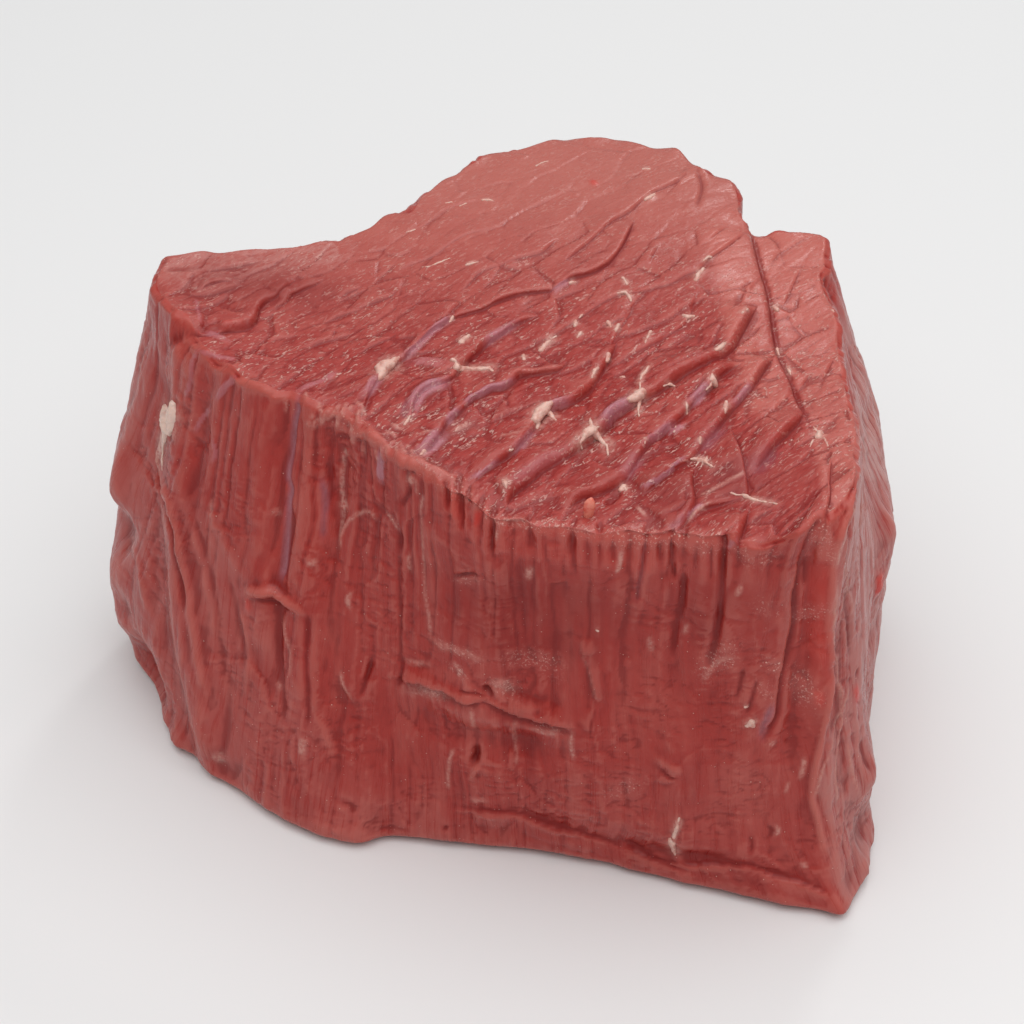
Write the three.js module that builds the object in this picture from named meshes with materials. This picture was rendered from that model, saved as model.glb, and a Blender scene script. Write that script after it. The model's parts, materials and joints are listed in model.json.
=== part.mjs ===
// A raw top round roast: one thick block of beef, cut flat across the grain on its top and its bottom.
// Millimetres, +Z up. The origin is the middle of the resting face, and -Y is the broad front wall.
// The block is a loft. A closed base outline and a closed rim outline share the same stations, the walls
// run between them with a belly, and the cut face on top is a field of heights inside the rim.
import * as THREE from "three";

// Driving sizes of the whole block
const CUT_HEIGHT = 99; // height of the cut face at its middle
const CUT_RISE_BACK = 0.05; // how much the cut face climbs for each millimetre towards the back
const FOOT_ROUND = 4; // rounding where the walls meet the resting face
const RIM_ROUND = 1.2; // rounding where the walls meet the cut face
const RIM_BAND = 0.9; // how far the last rings of the walls and of the cut face keep from the rim
const HUB = [2, -8]; // where the rings of the cut face close, in plan

// Stations round the block, counterclockwise from above, starting at its left corner.
// rim and base are places in plan. low and high are how far the wall swells outwards past the straight
// line from base to rim at the two belly heights, and foot is how far the wall flares out on the ground.
const BELLY_LOW = { at: 0.3, spread: 0.2 };
const BELLY_HIGH = { at: 0.64, spread: 0.17 };
const FOOT_HEIGHT = 9; // how high the flare of the foot reaches
const STATIONS = [
  { rim: [-74, 10], base: [-82.5, 6], low: 5.5, high: 3, foot: 1 }, // left corner
  { rim: [-63, -8], base: [-75, -16], low: 2.5, high: 2, foot: 1 }, // left wall
  { rim: [-54, -20], base: [-65, -31], low: 0, high: 1, foot: 1 },
  { rim: [-44, -28], base: [-51, -43], low: 0, high: 1, foot: 1 },
  { rim: [-31, -33], base: [-36, -52], low: 0, high: 1, foot: 1 }, // front left foot
  { rim: [-22, -43], base: [-23, -51], low: 0, high: 0, foot: 1 },
  { rim: [-7, -57], base: [-7, -53], low: 1, high: -1, foot: 1.5 }, // front lip, which overhangs the wall
  { rim: [12, -62.5], base: [12, -56], low: 2, high: -3, foot: 1.5 },
  { rim: [31, -66], base: [32, -62], low: 1, high: -3, foot: 2 },
  { rim: [48, -69.5], base: [51, -67.5], low: -1, high: -2, foot: 3 },
  { rim: [59, -64], base: [64, -67], low: -3.5, high: -3, foot: 6.5 }, // front right corner
  { rim: [63, -50], base: [72.5, -54], low: -2, high: 1, foot: 2.5 }, // right wall
  { rim: [63.5, -28], base: [73, -32], low: 1, high: 4, foot: 1 },
  { rim: [64, -5], base: [76, -5], low: 5.5, high: 7, foot: 0 },
  { rim: [64.5, 21.5], base: [76, 22], low: 8, high: 4.5, foot: 0 }, // back right corner
  { rim: [56, 27.5], base: [63, 35], low: 3, high: 3, foot: 0 },
  { rim: [48.5, 26], base: [55, 42], low: 2, high: 2, foot: 0 }, // notch at the seam
  { rim: [45.5, 43], base: [44, 54], low: 3, high: 2, foot: 0 },
  { rim: [33, 54.5], base: [30, 61], low: 3, high: 2, foot: 0 },
  { rim: [15, 58.3], base: [12, 64], low: 3, high: 2, foot: 0 }, // back lobe
  { rim: [-7.5, 52.5], base: [-11, 59], low: 3, high: 2, foot: 0 },
  { rim: [-20.5, 34.5], base: [-30, 49], low: 3, high: 2, foot: 0 },
  { rim: [-38, 21], base: [-50, 38], low: 3, high: 2, foot: 0 }, // hollow behind the left wing
  { rim: [-60, 19], base: [-71, 28], low: 4, high: 3, foot: 0 },
  { rim: [-72, 18], base: [-80, 19], low: 5, high: 4, foot: 0 },
];

// Broad hills and dips of the cut face: centre in plan, reach along X and Y, and height
const CUT_SWELLS = [
  { at: [5, -74], reach: [30, 30], height: -6 }, // the front edge sags
  { at: [62, -58], reach: [9, 12], height: 4 }, // the front right corner stands up
  { at: [20, 30], reach: [34, 26], height: 2 }, // the back lobe
  { at: [-44, -4], reach: [22, 16], height: -2.5 }, // the saddle towards the left wing
];

// The seam between the main muscle and the narrow one on its right
const SEAM = { from: [50, 26], to: [55, -40], step: 2.2, width: 3, groove: 1.6, fade: 26 };

// Upright folds of the walls. at is a place along the stations, lean is how many stations the fold has
// moved by at the foot, and from and to are the shares of the wall's height that it runs between.
const FOLDS = [
  { at: 0.6, lean: 1.2, from: 0, to: 0.8, width: 0.2, depth: -1.9 }, // valley left of the ridge
  { at: 1.05, lean: 1.3, from: 0, to: 0.95, width: 0.22, depth: 1.7 }, // ridge down the left wall
  { at: 3.1, lean: 0.1, from: 0.35, to: 1, width: 0.14, depth: -1.8 },
  { at: 3.9, lean: 0.1, from: 0.1, to: 0.9, width: 0.16, depth: -1.2 },
  { at: 7.9, lean: 0.1, from: 0.5, to: 1, width: 0.14, depth: -1.4 },
  { at: 9.45, lean: -0.4, from: 0.4, to: 1, width: 0.17, depth: -3 }, // beside the corner flange
  { at: 9.95, lean: 0, from: 0.1, to: 1, width: 0.18, depth: 1.6 }, // the corner flange
  { at: 12.3, lean: -0.9, from: 0.1, to: 0.95, width: 0.2, depth: -1.3 },
  { at: 13.4, lean: -0.7, from: 0.1, to: 0.95, width: 0.2, depth: -1.2 },
  { at: 15.9, lean: 0.2, from: 0, to: 1, width: 0.3, depth: -2 }, // the seam reaches the back wall
  { at: 18.4, lean: 0.3, from: 0, to: 0.9, width: 0.2, depth: -1.6 },
  { at: 20.5, lean: -0.3, from: 0.1, to: 1, width: 0.22, depth: -1.8 },
  { at: 22.6, lean: 0.3, from: 0, to: 0.8, width: 0.24, depth: -1.8 },
];

// Tears across the grain. reach is half of a tear's length in stations, and height is a share of the wall's
// that falls by drop from the tear's start to its end. Each is a slot with a swollen lip above it, and the
// slot's and the lip's sizes are shares of the wall's height too.
const TEAR_SLOT = 0.022;
const TEAR_LIP = { above: 0.06, spread: 0.035, swell: 0.5 };
const TEARS = [
  { at: 6.1, reach: 1.5, height: 0.4, drop: 0.07, depth: 1.8 },
  { at: 5.8, reach: 0.6, height: 0.79, drop: 0.01, depth: 0.9 },
  { at: 7.9, reach: 1.5, height: 0.12, drop: 0.03, depth: 1.3 },
  { at: 24.9, reach: 1.6, height: 0.47, drop: 0, depth: 2 }, // between the two swells of the left corner
];

const ROUND_ABOUT = 480; // the way round the block at half height
const BUNDLE = { wide: 10, tall: 46, depth: 0.9 }; // fibre bundles that flute the walls
const BROAD = { cells: 17, depth: 0.9 }; // slow unevenness of the walls

// Overlapping scales of the cut face. heading is the way they run, in degrees from +X, and lip is the share
// of a scale's width that the drop at its edge takes.
const SCALE = { across: 8.5, along: 27, heading: 48, height: 1.6, lip: 0.2 };

const CUT_WAVES = { wide: 21, deep: 17, height: 0.8 }; // slow unevenness of the cut face
const SCALE_WANDER = { every: 18, by: 2.5 }; // how far the scales' edges stray from straight lines

// Fineness of the mesh
const SEGMENTS = 160;
const WALL_STEPS = 22;
const WALL_CROWDING = 0.09; // how much closer the steps are at the foot and the rim
const RING_GAP = 3;
const RING_THINNING = 0.62; // a ring keeps every second point once they are closer than this share of the gap

const mix = THREE.MathUtils.lerp;
const smoothstep = THREE.MathUtils.smoothstep;
const bell = (distance, spread) => Math.exp(-0.5 * (distance / spread) ** 2);

// A repeatable value from 0 to 1 for a cell of a lattice
function cellValue(i, j) {
  const wave = Math.sin(i * 127.1 + j * 311.7) * 43758.5453;
  return wave - Math.floor(wave);
}

// Smooth noise from -1 to 1. When wrap is given, the first coordinate repeats after that many cells.
function noise(x, y, wrap = 0) {
  const i = Math.floor(x);
  const j = Math.floor(y);
  const u = smoothstep(x - i, 0, 1);
  const v = smoothstep(y - j, 0, 1);
  const column = (k) => (wrap ? ((k % wrap) + wrap) % wrap : k);
  const low = mix(cellValue(column(i), j), cellValue(column(i + 1), j), u);
  const high = mix(cellValue(column(i), j + 1), cellValue(column(i + 1), j + 1), u);
  return 2 * mix(low, high, v) - 1;
}

function closedCurve(key) {
  const points = STATIONS.map((s) => new THREE.Vector3(s[key][0], s[key][1], 0));
  return new THREE.CatmullRomCurve3(points, true, "centripetal");
}

const rimCurve = closedCurve("rim");
const baseCurve = closedCurve("base");

// A quantity of the stations, smoothly between two of them
function stationValue(key, place) {
  const count = STATIONS.length;
  const i = Math.floor(place);
  const share = smoothstep(place - i, 0, 1);
  return mix(STATIONS[((i % count) + count) % count][key], STATIONS[(i + 1) % count][key], share);
}

// Places along the stations that are evenly spaced round the block
function evenPlaces(count) {
  const fine = 40 * STATIONS.length;
  const lengths = [0];
  let previous = middlePoint(0);
  for (let i = 1; i <= fine; i++) {
    const next = middlePoint(i / fine);
    lengths.push(lengths[i - 1] + next.distanceTo(previous));
    previous = next;
  }
  const places = [];
  let k = 0;
  for (let i = 0; i < count; i++) {
    const wanted = (lengths[fine] * i) / count;
    while (lengths[k + 1] < wanted) k++;
    const share = (wanted - lengths[k]) / (lengths[k + 1] - lengths[k]);
    places.push(((k + share) / fine) * STATIONS.length);
  }
  return places;
}

function middlePoint(u) {
  return rimCurve.getPoint(u % 1).add(baseCurve.getPoint(u % 1)).multiplyScalar(0.5);
}

// The overlapping scales: each one tilts, so that its long side towards the front right stands proud
function scaleRelief(x, y) {
  const heading = THREE.MathUtils.degToRad(SCALE.heading);
  const along = x * Math.cos(heading) + y * Math.sin(heading);
  const wander = SCALE_WANDER.by * noise(along / SCALE_WANDER.every, 0.5);
  const across = (-x * Math.sin(heading) + y * Math.cos(heading) + wander) / SCALE.across;
  const row = Math.floor(across);
  const inRow = across - row;
  const lift = 0.6 + 0.8 * cellValue(row, 5);
  const lump = noise(along / SCALE.along + 7.3 * row, row);
  const flat = 1 - SCALE.lip;
  const tilt = inRow < flat ? 0.5 - inRow / flat : (inRow - flat) / SCALE.lip - 0.5;
  return SCALE.height * lift * tilt * (0.7 + 0.5 * lump);
}

function seamRelief(x, y) {
  const run = new THREE.Vector2(SEAM.to[0] - SEAM.from[0], SEAM.to[1] - SEAM.from[1]);
  const length = run.length();
  run.normalize();
  const dx = x - SEAM.from[0];
  const dy = y - SEAM.from[1];
  const along = dx * run.x + dy * run.y;
  const aside = dy * run.x - dx * run.y;
  const here = 1 - smoothstep(along, length - SEAM.fade, length);
  const rightSide = smoothstep(aside, -SEAM.width / 2, SEAM.width / 2);
  const near = 1 - smoothstep(aside, 0, 40);
  return -here * (SEAM.step * rightSide * near + SEAM.groove * bell(aside, SEAM.width / 2));
}

function cutHeight(x, y) {
  let z = CUT_HEIGHT + CUT_RISE_BACK * y;
  for (const swell of CUT_SWELLS) {
    z += swell.height * bell(x - swell.at[0], swell.reach[0]) * bell(y - swell.at[1], swell.reach[1]);
  }
  z += CUT_WAVES.height * noise(x / CUT_WAVES.wide, y / CUT_WAVES.deep);
  return z + scaleRelief(x, y) + seamRelief(x, y);
}

// The shortest way round from one place along the stations to another
function stationsFrom(centre, place) {
  const count = STATIONS.length;
  return place - centre - count * Math.round((place - centre) / count);
}

// How far the wall stands out past the plain loft, at a place along the stations and a share of its height
function wallRelief(place, share, turn) {
  let out = stationValue("low", place) * bell(share - BELLY_LOW.at, BELLY_LOW.spread);
  out += stationValue("high", place) * bell(share - BELLY_HIGH.at, BELLY_HIGH.spread);
  out += stationValue("foot", place) * bell(share * CUT_HEIGHT, FOOT_HEIGHT);
  for (const fold of FOLDS) {
    const aside = stationsFrom(fold.at + fold.lean * (1 - share) ** 2, place);
    const started = smoothstep(share, fold.from - 0.12, fold.from + 0.1);
    const ended = smoothstep(share, fold.to, fold.to + 0.1);
    out += fold.depth * started * (1 - ended) * bell(aside, fold.width);
  }
  for (const tear of TEARS) {
    const along = stationsFrom(tear.at, place) / tear.reach;
    const window = Math.max(0, 1 - along * along);
    const above = share - (tear.height - 0.5 * tear.drop * (along + 1));
    const lip = TEAR_LIP.swell * bell(above - TEAR_LIP.above, TEAR_LIP.spread);
    out += tear.depth * window * (lip - bell(above, TEAR_SLOT));
  }
  const flutes = Math.round(ROUND_ABOUT / BUNDLE.wide);
  const flute = noise(turn * flutes, (share * CUT_HEIGHT) / BUNDLE.tall, flutes);
  const broad = noise(turn * BROAD.cells, share * 3 + 5, BROAD.cells);
  return out + BUNDLE.depth * flute + BROAD.depth * broad;
}

// Shares of the wall's height, closer together where it rounds over at the foot and the rim
function wallShares() {
  const shares = [];
  for (let j = 0; j <= WALL_STEPS; j++) {
    const even = j / WALL_STEPS;
    shares.push(even - WALL_CROWDING * Math.sin(2 * Math.PI * even));
  }
  shares.splice(WALL_STEPS, 0, 1 - RIM_BAND / CUT_HEIGHT);
  return shares;
}

// How far a rounded edge has drawn in, at a height above the start of the rounding
function roundedInset(gap, radius) {
  const t = THREE.MathUtils.clamp(1 - gap / radius, 0, 1);
  return radius * (1 - Math.sqrt(1 - t * t));
}

function wallPoint(place, share, turn) {
  const u = place / STATIONS.length;
  const rim = rimCurve.getPoint(u);
  const base = baseCurve.getPoint(u);
  const direction = rimCurve.getTangent(u).add(baseCurve.getTangent(u)).normalize();
  const outward = new THREE.Vector3(direction.y, -direction.x, 0);
  const edge = cutHeight(rim.x, rim.y);
  const z = share * edge;
  const rounded = roundedInset(z, FOOT_ROUND) + roundedInset(edge - z, RIM_ROUND);
  const eased = mix(share, smoothstep(share, 0, 1), 0.5);
  return base.lerp(rim, eased).addScaledVector(outward, wallRelief(place, share, turn) - rounded).setZ(z);
}

// Rings from the resting face up the walls and in over the cut face
function wallRings(places) {
  return wallShares().map((share) =>
    places.map((place, i) => wallPoint(place, share, i / places.length)),
  );
}

function cutRings(rim) {
  const reach = rim.reduce((sum, p) => sum + Math.hypot(p.x - HUB[0], p.y - HUB[1]), 0) / rim.length;
  const steps = Math.round(reach / RING_GAP);
  const shares = [RIM_BAND / reach];
  for (let k = 1; k < steps; k++) shares.push(k / steps);
  let thinned = 1;
  return shares.map((share) => {
    const spacing = (2 * Math.PI * reach * (1 - share) * thinned) / rim.length;
    if (spacing < RING_THINNING * RING_GAP && (rim.length / thinned) % 2 === 0) thinned *= 2;
    const kept = rim.filter((_, i) => i % thinned === 0);
    return kept.map((p) => cutPoint(mix(p.x, HUB[0], share), mix(p.y, HUB[1], share)));
  });
}

function cutPoint(x, y) {
  return new THREE.Vector3(x, y, cutHeight(x, y));
}

// Joins two rings of points, the second with as many points as the first or with half of them
function joinRings(triangles, first, second) {
  const n = first.length;
  const m = second.length;
  for (let i = 0; i < m; i++) {
    const next = (i + 1) % m;
    if (n === m) {
      triangles.push([first[i], first[next], second[next]], [first[i], second[next], second[i]]);
    } else {
      const between = first[2 * i + 1];
      const after = first[(2 * i + 2) % n];
      triangles.push([first[2 * i], between, second[i]], [between, second[next], second[i]]);
      triangles.push([between, after, second[next]]);
    }
  }
}

function roastGeometry() {
  const walls = wallRings(evenPlaces(SEGMENTS));
  const cut = cutRings(walls[walls.length - 1]);
  const points = [];
  const rings = [...walls, ...cut].map((ring) => ring.map((p) => points.push(p) - 1));
  const triangles = [];
  for (let i = 1; i < rings.length; i++) joinRings(triangles, rings[i - 1], rings[i]);
  const foot = rings[0];
  const sole = points.push(new THREE.Vector3(HUB[0], HUB[1], 0)) - 1;
  foot.forEach((p, i) => triangles.push([foot[(i + 1) % foot.length], p, sole]));
  const top = rings[rings.length - 1];
  const hub = points.push(cutPoint(HUB[0], HUB[1])) - 1;
  top.forEach((p, i) => triangles.push([p, top[(i + 1) % top.length], hub]));
  const geometry = new THREE.BufferGeometry().setFromPoints(points);
  geometry.setIndex(triangles.flat());
  geometry.computeVertexNormals();
  return geometry;
}

// Sets the origin at the middle of the resting face's bounding box
function centred(geometry) {
  geometry.computeBoundingBox();
  const { min, max } = geometry.boundingBox;
  return geometry.translate(-(min.x + max.x) / 2, -(min.y + max.y) / 2, -min.z);
}

const meat = new THREE.MeshStandardMaterial({ color: 0xa8453f, roughness: 0.42, metalness: 0 });

const roast = new THREE.Mesh(centred(roastGeometry()), meat);
roast.name = "roast";

const group = new THREE.Group();
group.add(roast);

export default group;
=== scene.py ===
"""A raw beef top round roast: cut face, long-grained wall, fat and silverskin, in a plain studio."""
import json
import math

import bmesh
import bpy
import numpy as np
from bpy.props import FloatProperty, FloatVectorProperty, IntProperty, PointerProperty
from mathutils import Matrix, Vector
from mathutils.bvhtree import BVHTree
from mathutils.geometry import delaunay_2d_cdt

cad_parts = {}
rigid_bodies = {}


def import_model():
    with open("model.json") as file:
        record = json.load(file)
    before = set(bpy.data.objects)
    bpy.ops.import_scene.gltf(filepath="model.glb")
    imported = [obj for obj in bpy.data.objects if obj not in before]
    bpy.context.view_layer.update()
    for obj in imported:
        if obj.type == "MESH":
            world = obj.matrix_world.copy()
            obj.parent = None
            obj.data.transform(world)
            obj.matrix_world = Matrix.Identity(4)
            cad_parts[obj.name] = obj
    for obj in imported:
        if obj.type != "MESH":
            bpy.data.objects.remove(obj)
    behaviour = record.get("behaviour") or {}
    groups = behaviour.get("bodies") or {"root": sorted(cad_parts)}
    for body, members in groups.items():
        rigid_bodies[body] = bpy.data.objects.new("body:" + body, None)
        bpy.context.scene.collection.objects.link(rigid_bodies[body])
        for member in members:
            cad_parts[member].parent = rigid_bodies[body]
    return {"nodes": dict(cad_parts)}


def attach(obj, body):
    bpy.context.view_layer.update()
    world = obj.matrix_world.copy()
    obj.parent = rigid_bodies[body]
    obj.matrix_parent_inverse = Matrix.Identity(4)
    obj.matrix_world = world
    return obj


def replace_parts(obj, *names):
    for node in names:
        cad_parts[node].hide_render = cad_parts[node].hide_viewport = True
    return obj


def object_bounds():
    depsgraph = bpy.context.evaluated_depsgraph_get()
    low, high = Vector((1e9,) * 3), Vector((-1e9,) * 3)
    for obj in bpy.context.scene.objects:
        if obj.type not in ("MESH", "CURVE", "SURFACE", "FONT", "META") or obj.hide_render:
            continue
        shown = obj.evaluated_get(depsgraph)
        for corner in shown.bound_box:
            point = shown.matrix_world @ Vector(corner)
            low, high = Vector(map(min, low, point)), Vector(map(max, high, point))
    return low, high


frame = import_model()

bl_info = {
    "name": "Top Round Roast",
    "version": (1, 0, 0),
    "blender": (4, 5, 0),
    "location": "3D View > Sidebar > Roast",
    "description": "Builds a raw beef roast with a cut face, fibre walls, fat and silverskin",
    "category": "Object",
}

CAD_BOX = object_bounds()
NODE = "roast"
BODY = "root"
MM = 0.001

# The photograph's camera, in metres in the roast's own frame
PHOTO_SIZE = 1024
PHOTO_MIDDLE = PHOTO_SIZE / 2
# How often a ray from a photo pixel is aimed again at the uneven surface, and how near to one, in pixels, a
# place has to show where the outline is moved
AIM_STEPS = 6
NUDGE_AIM = 5.0
SENSOR = 36.0
LENS = 85.0
FOCUS = LENS / SENSOR * PHOTO_SIZE
ELEVATION = math.radians(38.0)
CAMERA_DISTANCE = 0.508
CAMERA_TARGET = Vector((0.002604, 0.002487, 0.046))

# The stage: half the floor's side, the room's light, and each lamp's place, width and power
FLOOR_HALF = 3.0
ROOM_LIGHT = 0.26
LAMPS = [("overhead", (0.10, -0.27, 1.40), 2.3, 25.2), ("sparkle", (0.30, 0.80, 0.95), 0.18, 1.4)]
LAMP_AIM = Vector((0, 0, 0.05))


def read_points(text):
    """The points that a text lists, each with its numbers joined by commas."""
    return [tuple(float(number) for number in point.split(",")) for point in text.split()]


def read_strands(text):
    """Lists of points, one a line; an indented line goes on with the one above."""
    return [read_points(row) for row in text.strip().replace("\n ", " ").splitlines()]


def read_strokes(text):
    """Tuples of a stroke's numbers and its photo pixels, which an upright bar parts in the text."""
    found = []
    for row in text.strip().replace("\n ", " ").splitlines():
        numbers, pixels = row.split("|")
        found.append((*(float(number) for number in numbers.split()), read_points(pixels)))
    return found


# How the block's mesh is laid out: the CAD's rings, the finer rows and columns of the wall from the foot up,
# the spacing and span of the cut face's points, and how far the CAD's cut face is evened out
HUB = np.array([4.604, -5.513]) * MM
WALL_RINGS = 24
COLUMNS = 960
ROWS = 176
RIM_START = ROWS * COLUMNS
RIM_SAMPLES = 8000
CUT_GRID = 0.43 * MM
CUT_SPAN = (90 * MM, 75 * MM)
SMOOTHING = 5.0 * MM
# Relief for the shaders, which paint highlight where it stands up and shade where it lies low: how many
# smoothing steps and what height in metres counts as full, its share on the cut face between two places
# from front to back, and on the wall, hidden and how much more where it is seen
RELIEF_STEPS = ((5, 0.10 * MM), (22, 0.28 * MM))
CUT_RELIEF = ((-0.02, 0.035), (0.6, 0.14))
WALL_RELIEF = (0.22, 0.18)
# Between which places from front to back the cut face grows calmer, in metres
CALMER = (-0.02, 0.04)
# The radius at which the wall's grain is laid out, its stretch upwards, and its turn for each metre up
GRAIN_RADIUS = 76.0 * MM
GRAIN_STRETCH = 0.07
GRAIN_TWIST = 0.6

# The tables that follow list photo pixels as x,y with what else each needs. Before an upright bar stand the
# numbers of the whole stroke, and a line that starts with two blanks goes on with the one above.

# Where the block's outline is eased over to the photograph's: a photo pixel on the block, how many pixels
# right and down that place moves there, and how far round it the move reaches, in millimetres
NUDGES = read_points("""
114,526,6,0,6 121,628,-6,0,5 701,161,-2,2,5 866,829,-5,0,5 877,422,-5,0,5 253,247,0,5,5 171,253,3,4,4
878,637,-5,0,5 511,148,0,5,6 143,335,4,0,5 884,594,6,0,5 384,217,-2,-5,4 871,791,5,0,5 116,497,-6,0,5
365,841,0,3,4 272,249,0,-4,4 118,609,5,0,4 703,166,-4,4,2 886,526,10,0,9 885,566,5,0,6 867,755,7,0,9
829,246,-3,5,5 787,227,0,4,5 741,218,4,0,3 715,163,-5,8,4 563,143,0,-4,7 451,180,-4,-5,4 476,155,3,6,3
340,242,0,5,5 152,259,8,5,5 200,252,0,5,6 116,483,-5,0,5 111,528,17,2,6 113,569,-5,0,5 140,678,10,-4,7
176,742,-6,4,4 226,786,2,-5,6 383,834,0,4,8 455,837,0,5,6 856,897,-3,-2,4 186,332,0,-12,4 460,495,0,-9,4
686,525,0,7,4 804,516,0,10,5 848,503,0,-12,4 699,166,-10,9,5 833,268,-13,0,5 145,665,8,-3,5 817,232,5,-6,4
409,209,9,9,4 154,690,5,-4,4 372,228,3,8,4 873,771,6,0,4 383,836,0,-5,5 469,842,0,-5,5 146,668,10,-5,9
118,605,-6,0,8 115,538,6,0,7 645,144,0,6,4 226,252,0,6,4 871,829,-6,0,5 863,880,-5,-3,5 655,873,0,-4,5
783,231,0,4,3 861,360,-5,0,5 163,721,5,-3,4 849,905,0,5,4 893,529,6,0,4 870,787,6,0,4 886,580,5,0,4
213,252,0,-5,3 702,169,-3,4,2 120,609,5,0,4 869,828,-5,0,4 827,252,-4,2,3 875,422,-5,0,4 141,660,5,0,4
606,860,0,-4,4 875,637,-4,0,4 409,210,3,4,3 850,906,0,4,3 115,503,-4,0,4 209,771,3,-3,4 340,242,0,4,4
778,902,0,3,4
""")

# Lips of the cut face: how proud each stands in millimetres, or does at its two ends, and the photo pixels
# that its crest runs through. The proud side lies on the left of the way the points run.
LIPS = read_strokes("""
2.8 1.2 | 134,300 150,304 166,309 182,315 194,321 204,324 216,323 230,322 242,321 252,316 256,305
1.6 0.6 | 252,318 256,305 264,297 276,292 288,283 296,274
0.9 | 272,302 284,298 290,291 304,284 316,279 324,272
0.8 | 196,292 204,284 214,281 240,277
0.7 | 184,286 196,292 214,291 232,286 246,279
0.6 | 200,268 222,266 240,262 262,256
0.5 | 332,300 344,291 356,286 366,279
0.6 | 354,306 372,300 388,294 396,286
0.5 | 318,322 334,315 350,309 366,305
0.5 | 300,348 318,340 340,334 358,327
0.5 | 352,356 366,346 384,338 398,330
1.9 | 498,503 508,486 520,477 532,467 545,457 558,449 573,441 588,431 600,423 612,411 628,399 643,390 656,383
  668,375 682,366 700,358 716,350 728,341 736,328 745,313 754,297
1.6 | 560,503 575,492 592,486 608,479 622,471 632,458 641,445 650,434 662,425 674,414 686,403 697,392 708,382
  716,372 727,364 742,357
1.4 | 636,488 650,481 664,471 676,461 688,453 698,443 706,432 716,421 724,411 732,401 742,391 750,381 757,371
  765,361 773,349
1.6 | 660,527 674,521 684,512 690,503 692,492 690,480 690,466 694,457
0.9 | 692,515 700,506 712,501 728,496 742,490
1.1 | 745,494 746,480 743,466 738,452 733,438 729,424
1.8 | 747,470 755,456 766,444 776,433 788,422 797,411 800,399
1.7 | 722,552 732,538 738,526 743,512 746,498
0.7 | 742,522 755,514 768,506 777,502
1.3 0.5 | 797,560 803,545 812,531 822,515 828,497 828,480 829,465 830,452
0.5 | 700,478 715,470 730,464 744,459
0.5 | 783,470 795,462 806,452 812,441
1.6 | 466,478 476,470 487,463 498,456 508,449 517,441 524,432 531,421 540,409 552,401 566,396 578,390 587,382
  594,371 601,360 608,348 614,333
1.1 | 415,455 421,447 430,440 438,430 443,421 450,414 458,408 464,402 472,394 482,390 491,385 502,383 510,379
  520,371 540,369 558,366 566,355
1.3 | 407,418 411,405 416,394 424,386 436,382 446,377 453,369 460,361 470,352 480,343 492,334 503,327 514,320
  526,314 540,309
0.9 | 362,398 370,387 378,374 386,364 398,357 410,348 420,338 430,329 441,322 452,314 466,309 480,306 495,300
  506,295 520,290 540,287 553,285 562,280 572,274 588,270 602,263 612,254 620,243 627,230 633,214
0.7 | 455,292 466,284 474,275 484,268 497,264 512,258 528,254 541,250 551,241 562,234
0.4 | 392,270 410,262 432,254 452,240 468,232 486,228 505,225
0.4 | 402,232 425,222 447,207 470,200 492,196
0.5 | 395,300 410,290 422,281
0.8 | 540,345 552,333 566,324 580,315 592,306 606,298 622,291 640,289 655,284 670,280 684,272 697,267 708,256
  722,247 736,238 748,228
0.6 | 606,350 613,336 621,322 629,309 632,298
1 | 560,262 575,250 590,238 602,227 614,217 628,209 640,198 652,189 666,183 680,176 690,166
0.6 | 612,364 630,352 650,342 666,333 680,325 688,314 692,300 697,288
0.7 | 742,300 748,290 756,281 762,270
0.5 | 700,245 712,236 722,228 730,222
0.5 | 646,268 650,256 656,246 664,240
0.6 | 780,304 788,290 794,277 800,263
0.6 | 796,386 806,374 818,366
0.5 | 818,380 828,365 834,350
""")
# A factor for their heights, how far a lip slopes away behind its crest, how far its face runs out in front
# as a share of its height, over what length its ends fade, and at what height it has its whole shade
LIP_HEIGHT = 1.2
LIP_WIDTH = 10.0 * MM
LIP_RUN = 0.42
LIP_FADE = 5.0 * MM
TALL_LIP = 0.9 * MM
# How many rows of the wall under the rim rise with the lips
LIP_ROWS = 30
# Photo rows between which the lips rise from half their height, at the back, to their whole height, and the
# photo column left of which they have it anywhere
BACK_LIPS = (290, 390)
WHOLE_LIPS = 390

# The seam between the two muscles, the step across it, its depth and its half width
SEAM = read_points("""
752,232 757,252 765,281 770,303 774,332 779,353 790,376 795,389 803,409
""")
SEAM_STEP = 1.6 * MM
SEAM_DEPTH = 0.9 * MM
SEAM_WIDTH = 0.55 * MM

# How far from its line a stroke and a step reach, in half widths, how far apart the line's points are, and
# how uneven its strength is, over what length
STROKE_REACH = 2.4
STEP_REACH = 4.0
STROKE_STEP = 0.8 * MM
UNEVEN = 0.22
UNEVEN_RUN = 2.3 * MM

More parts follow.
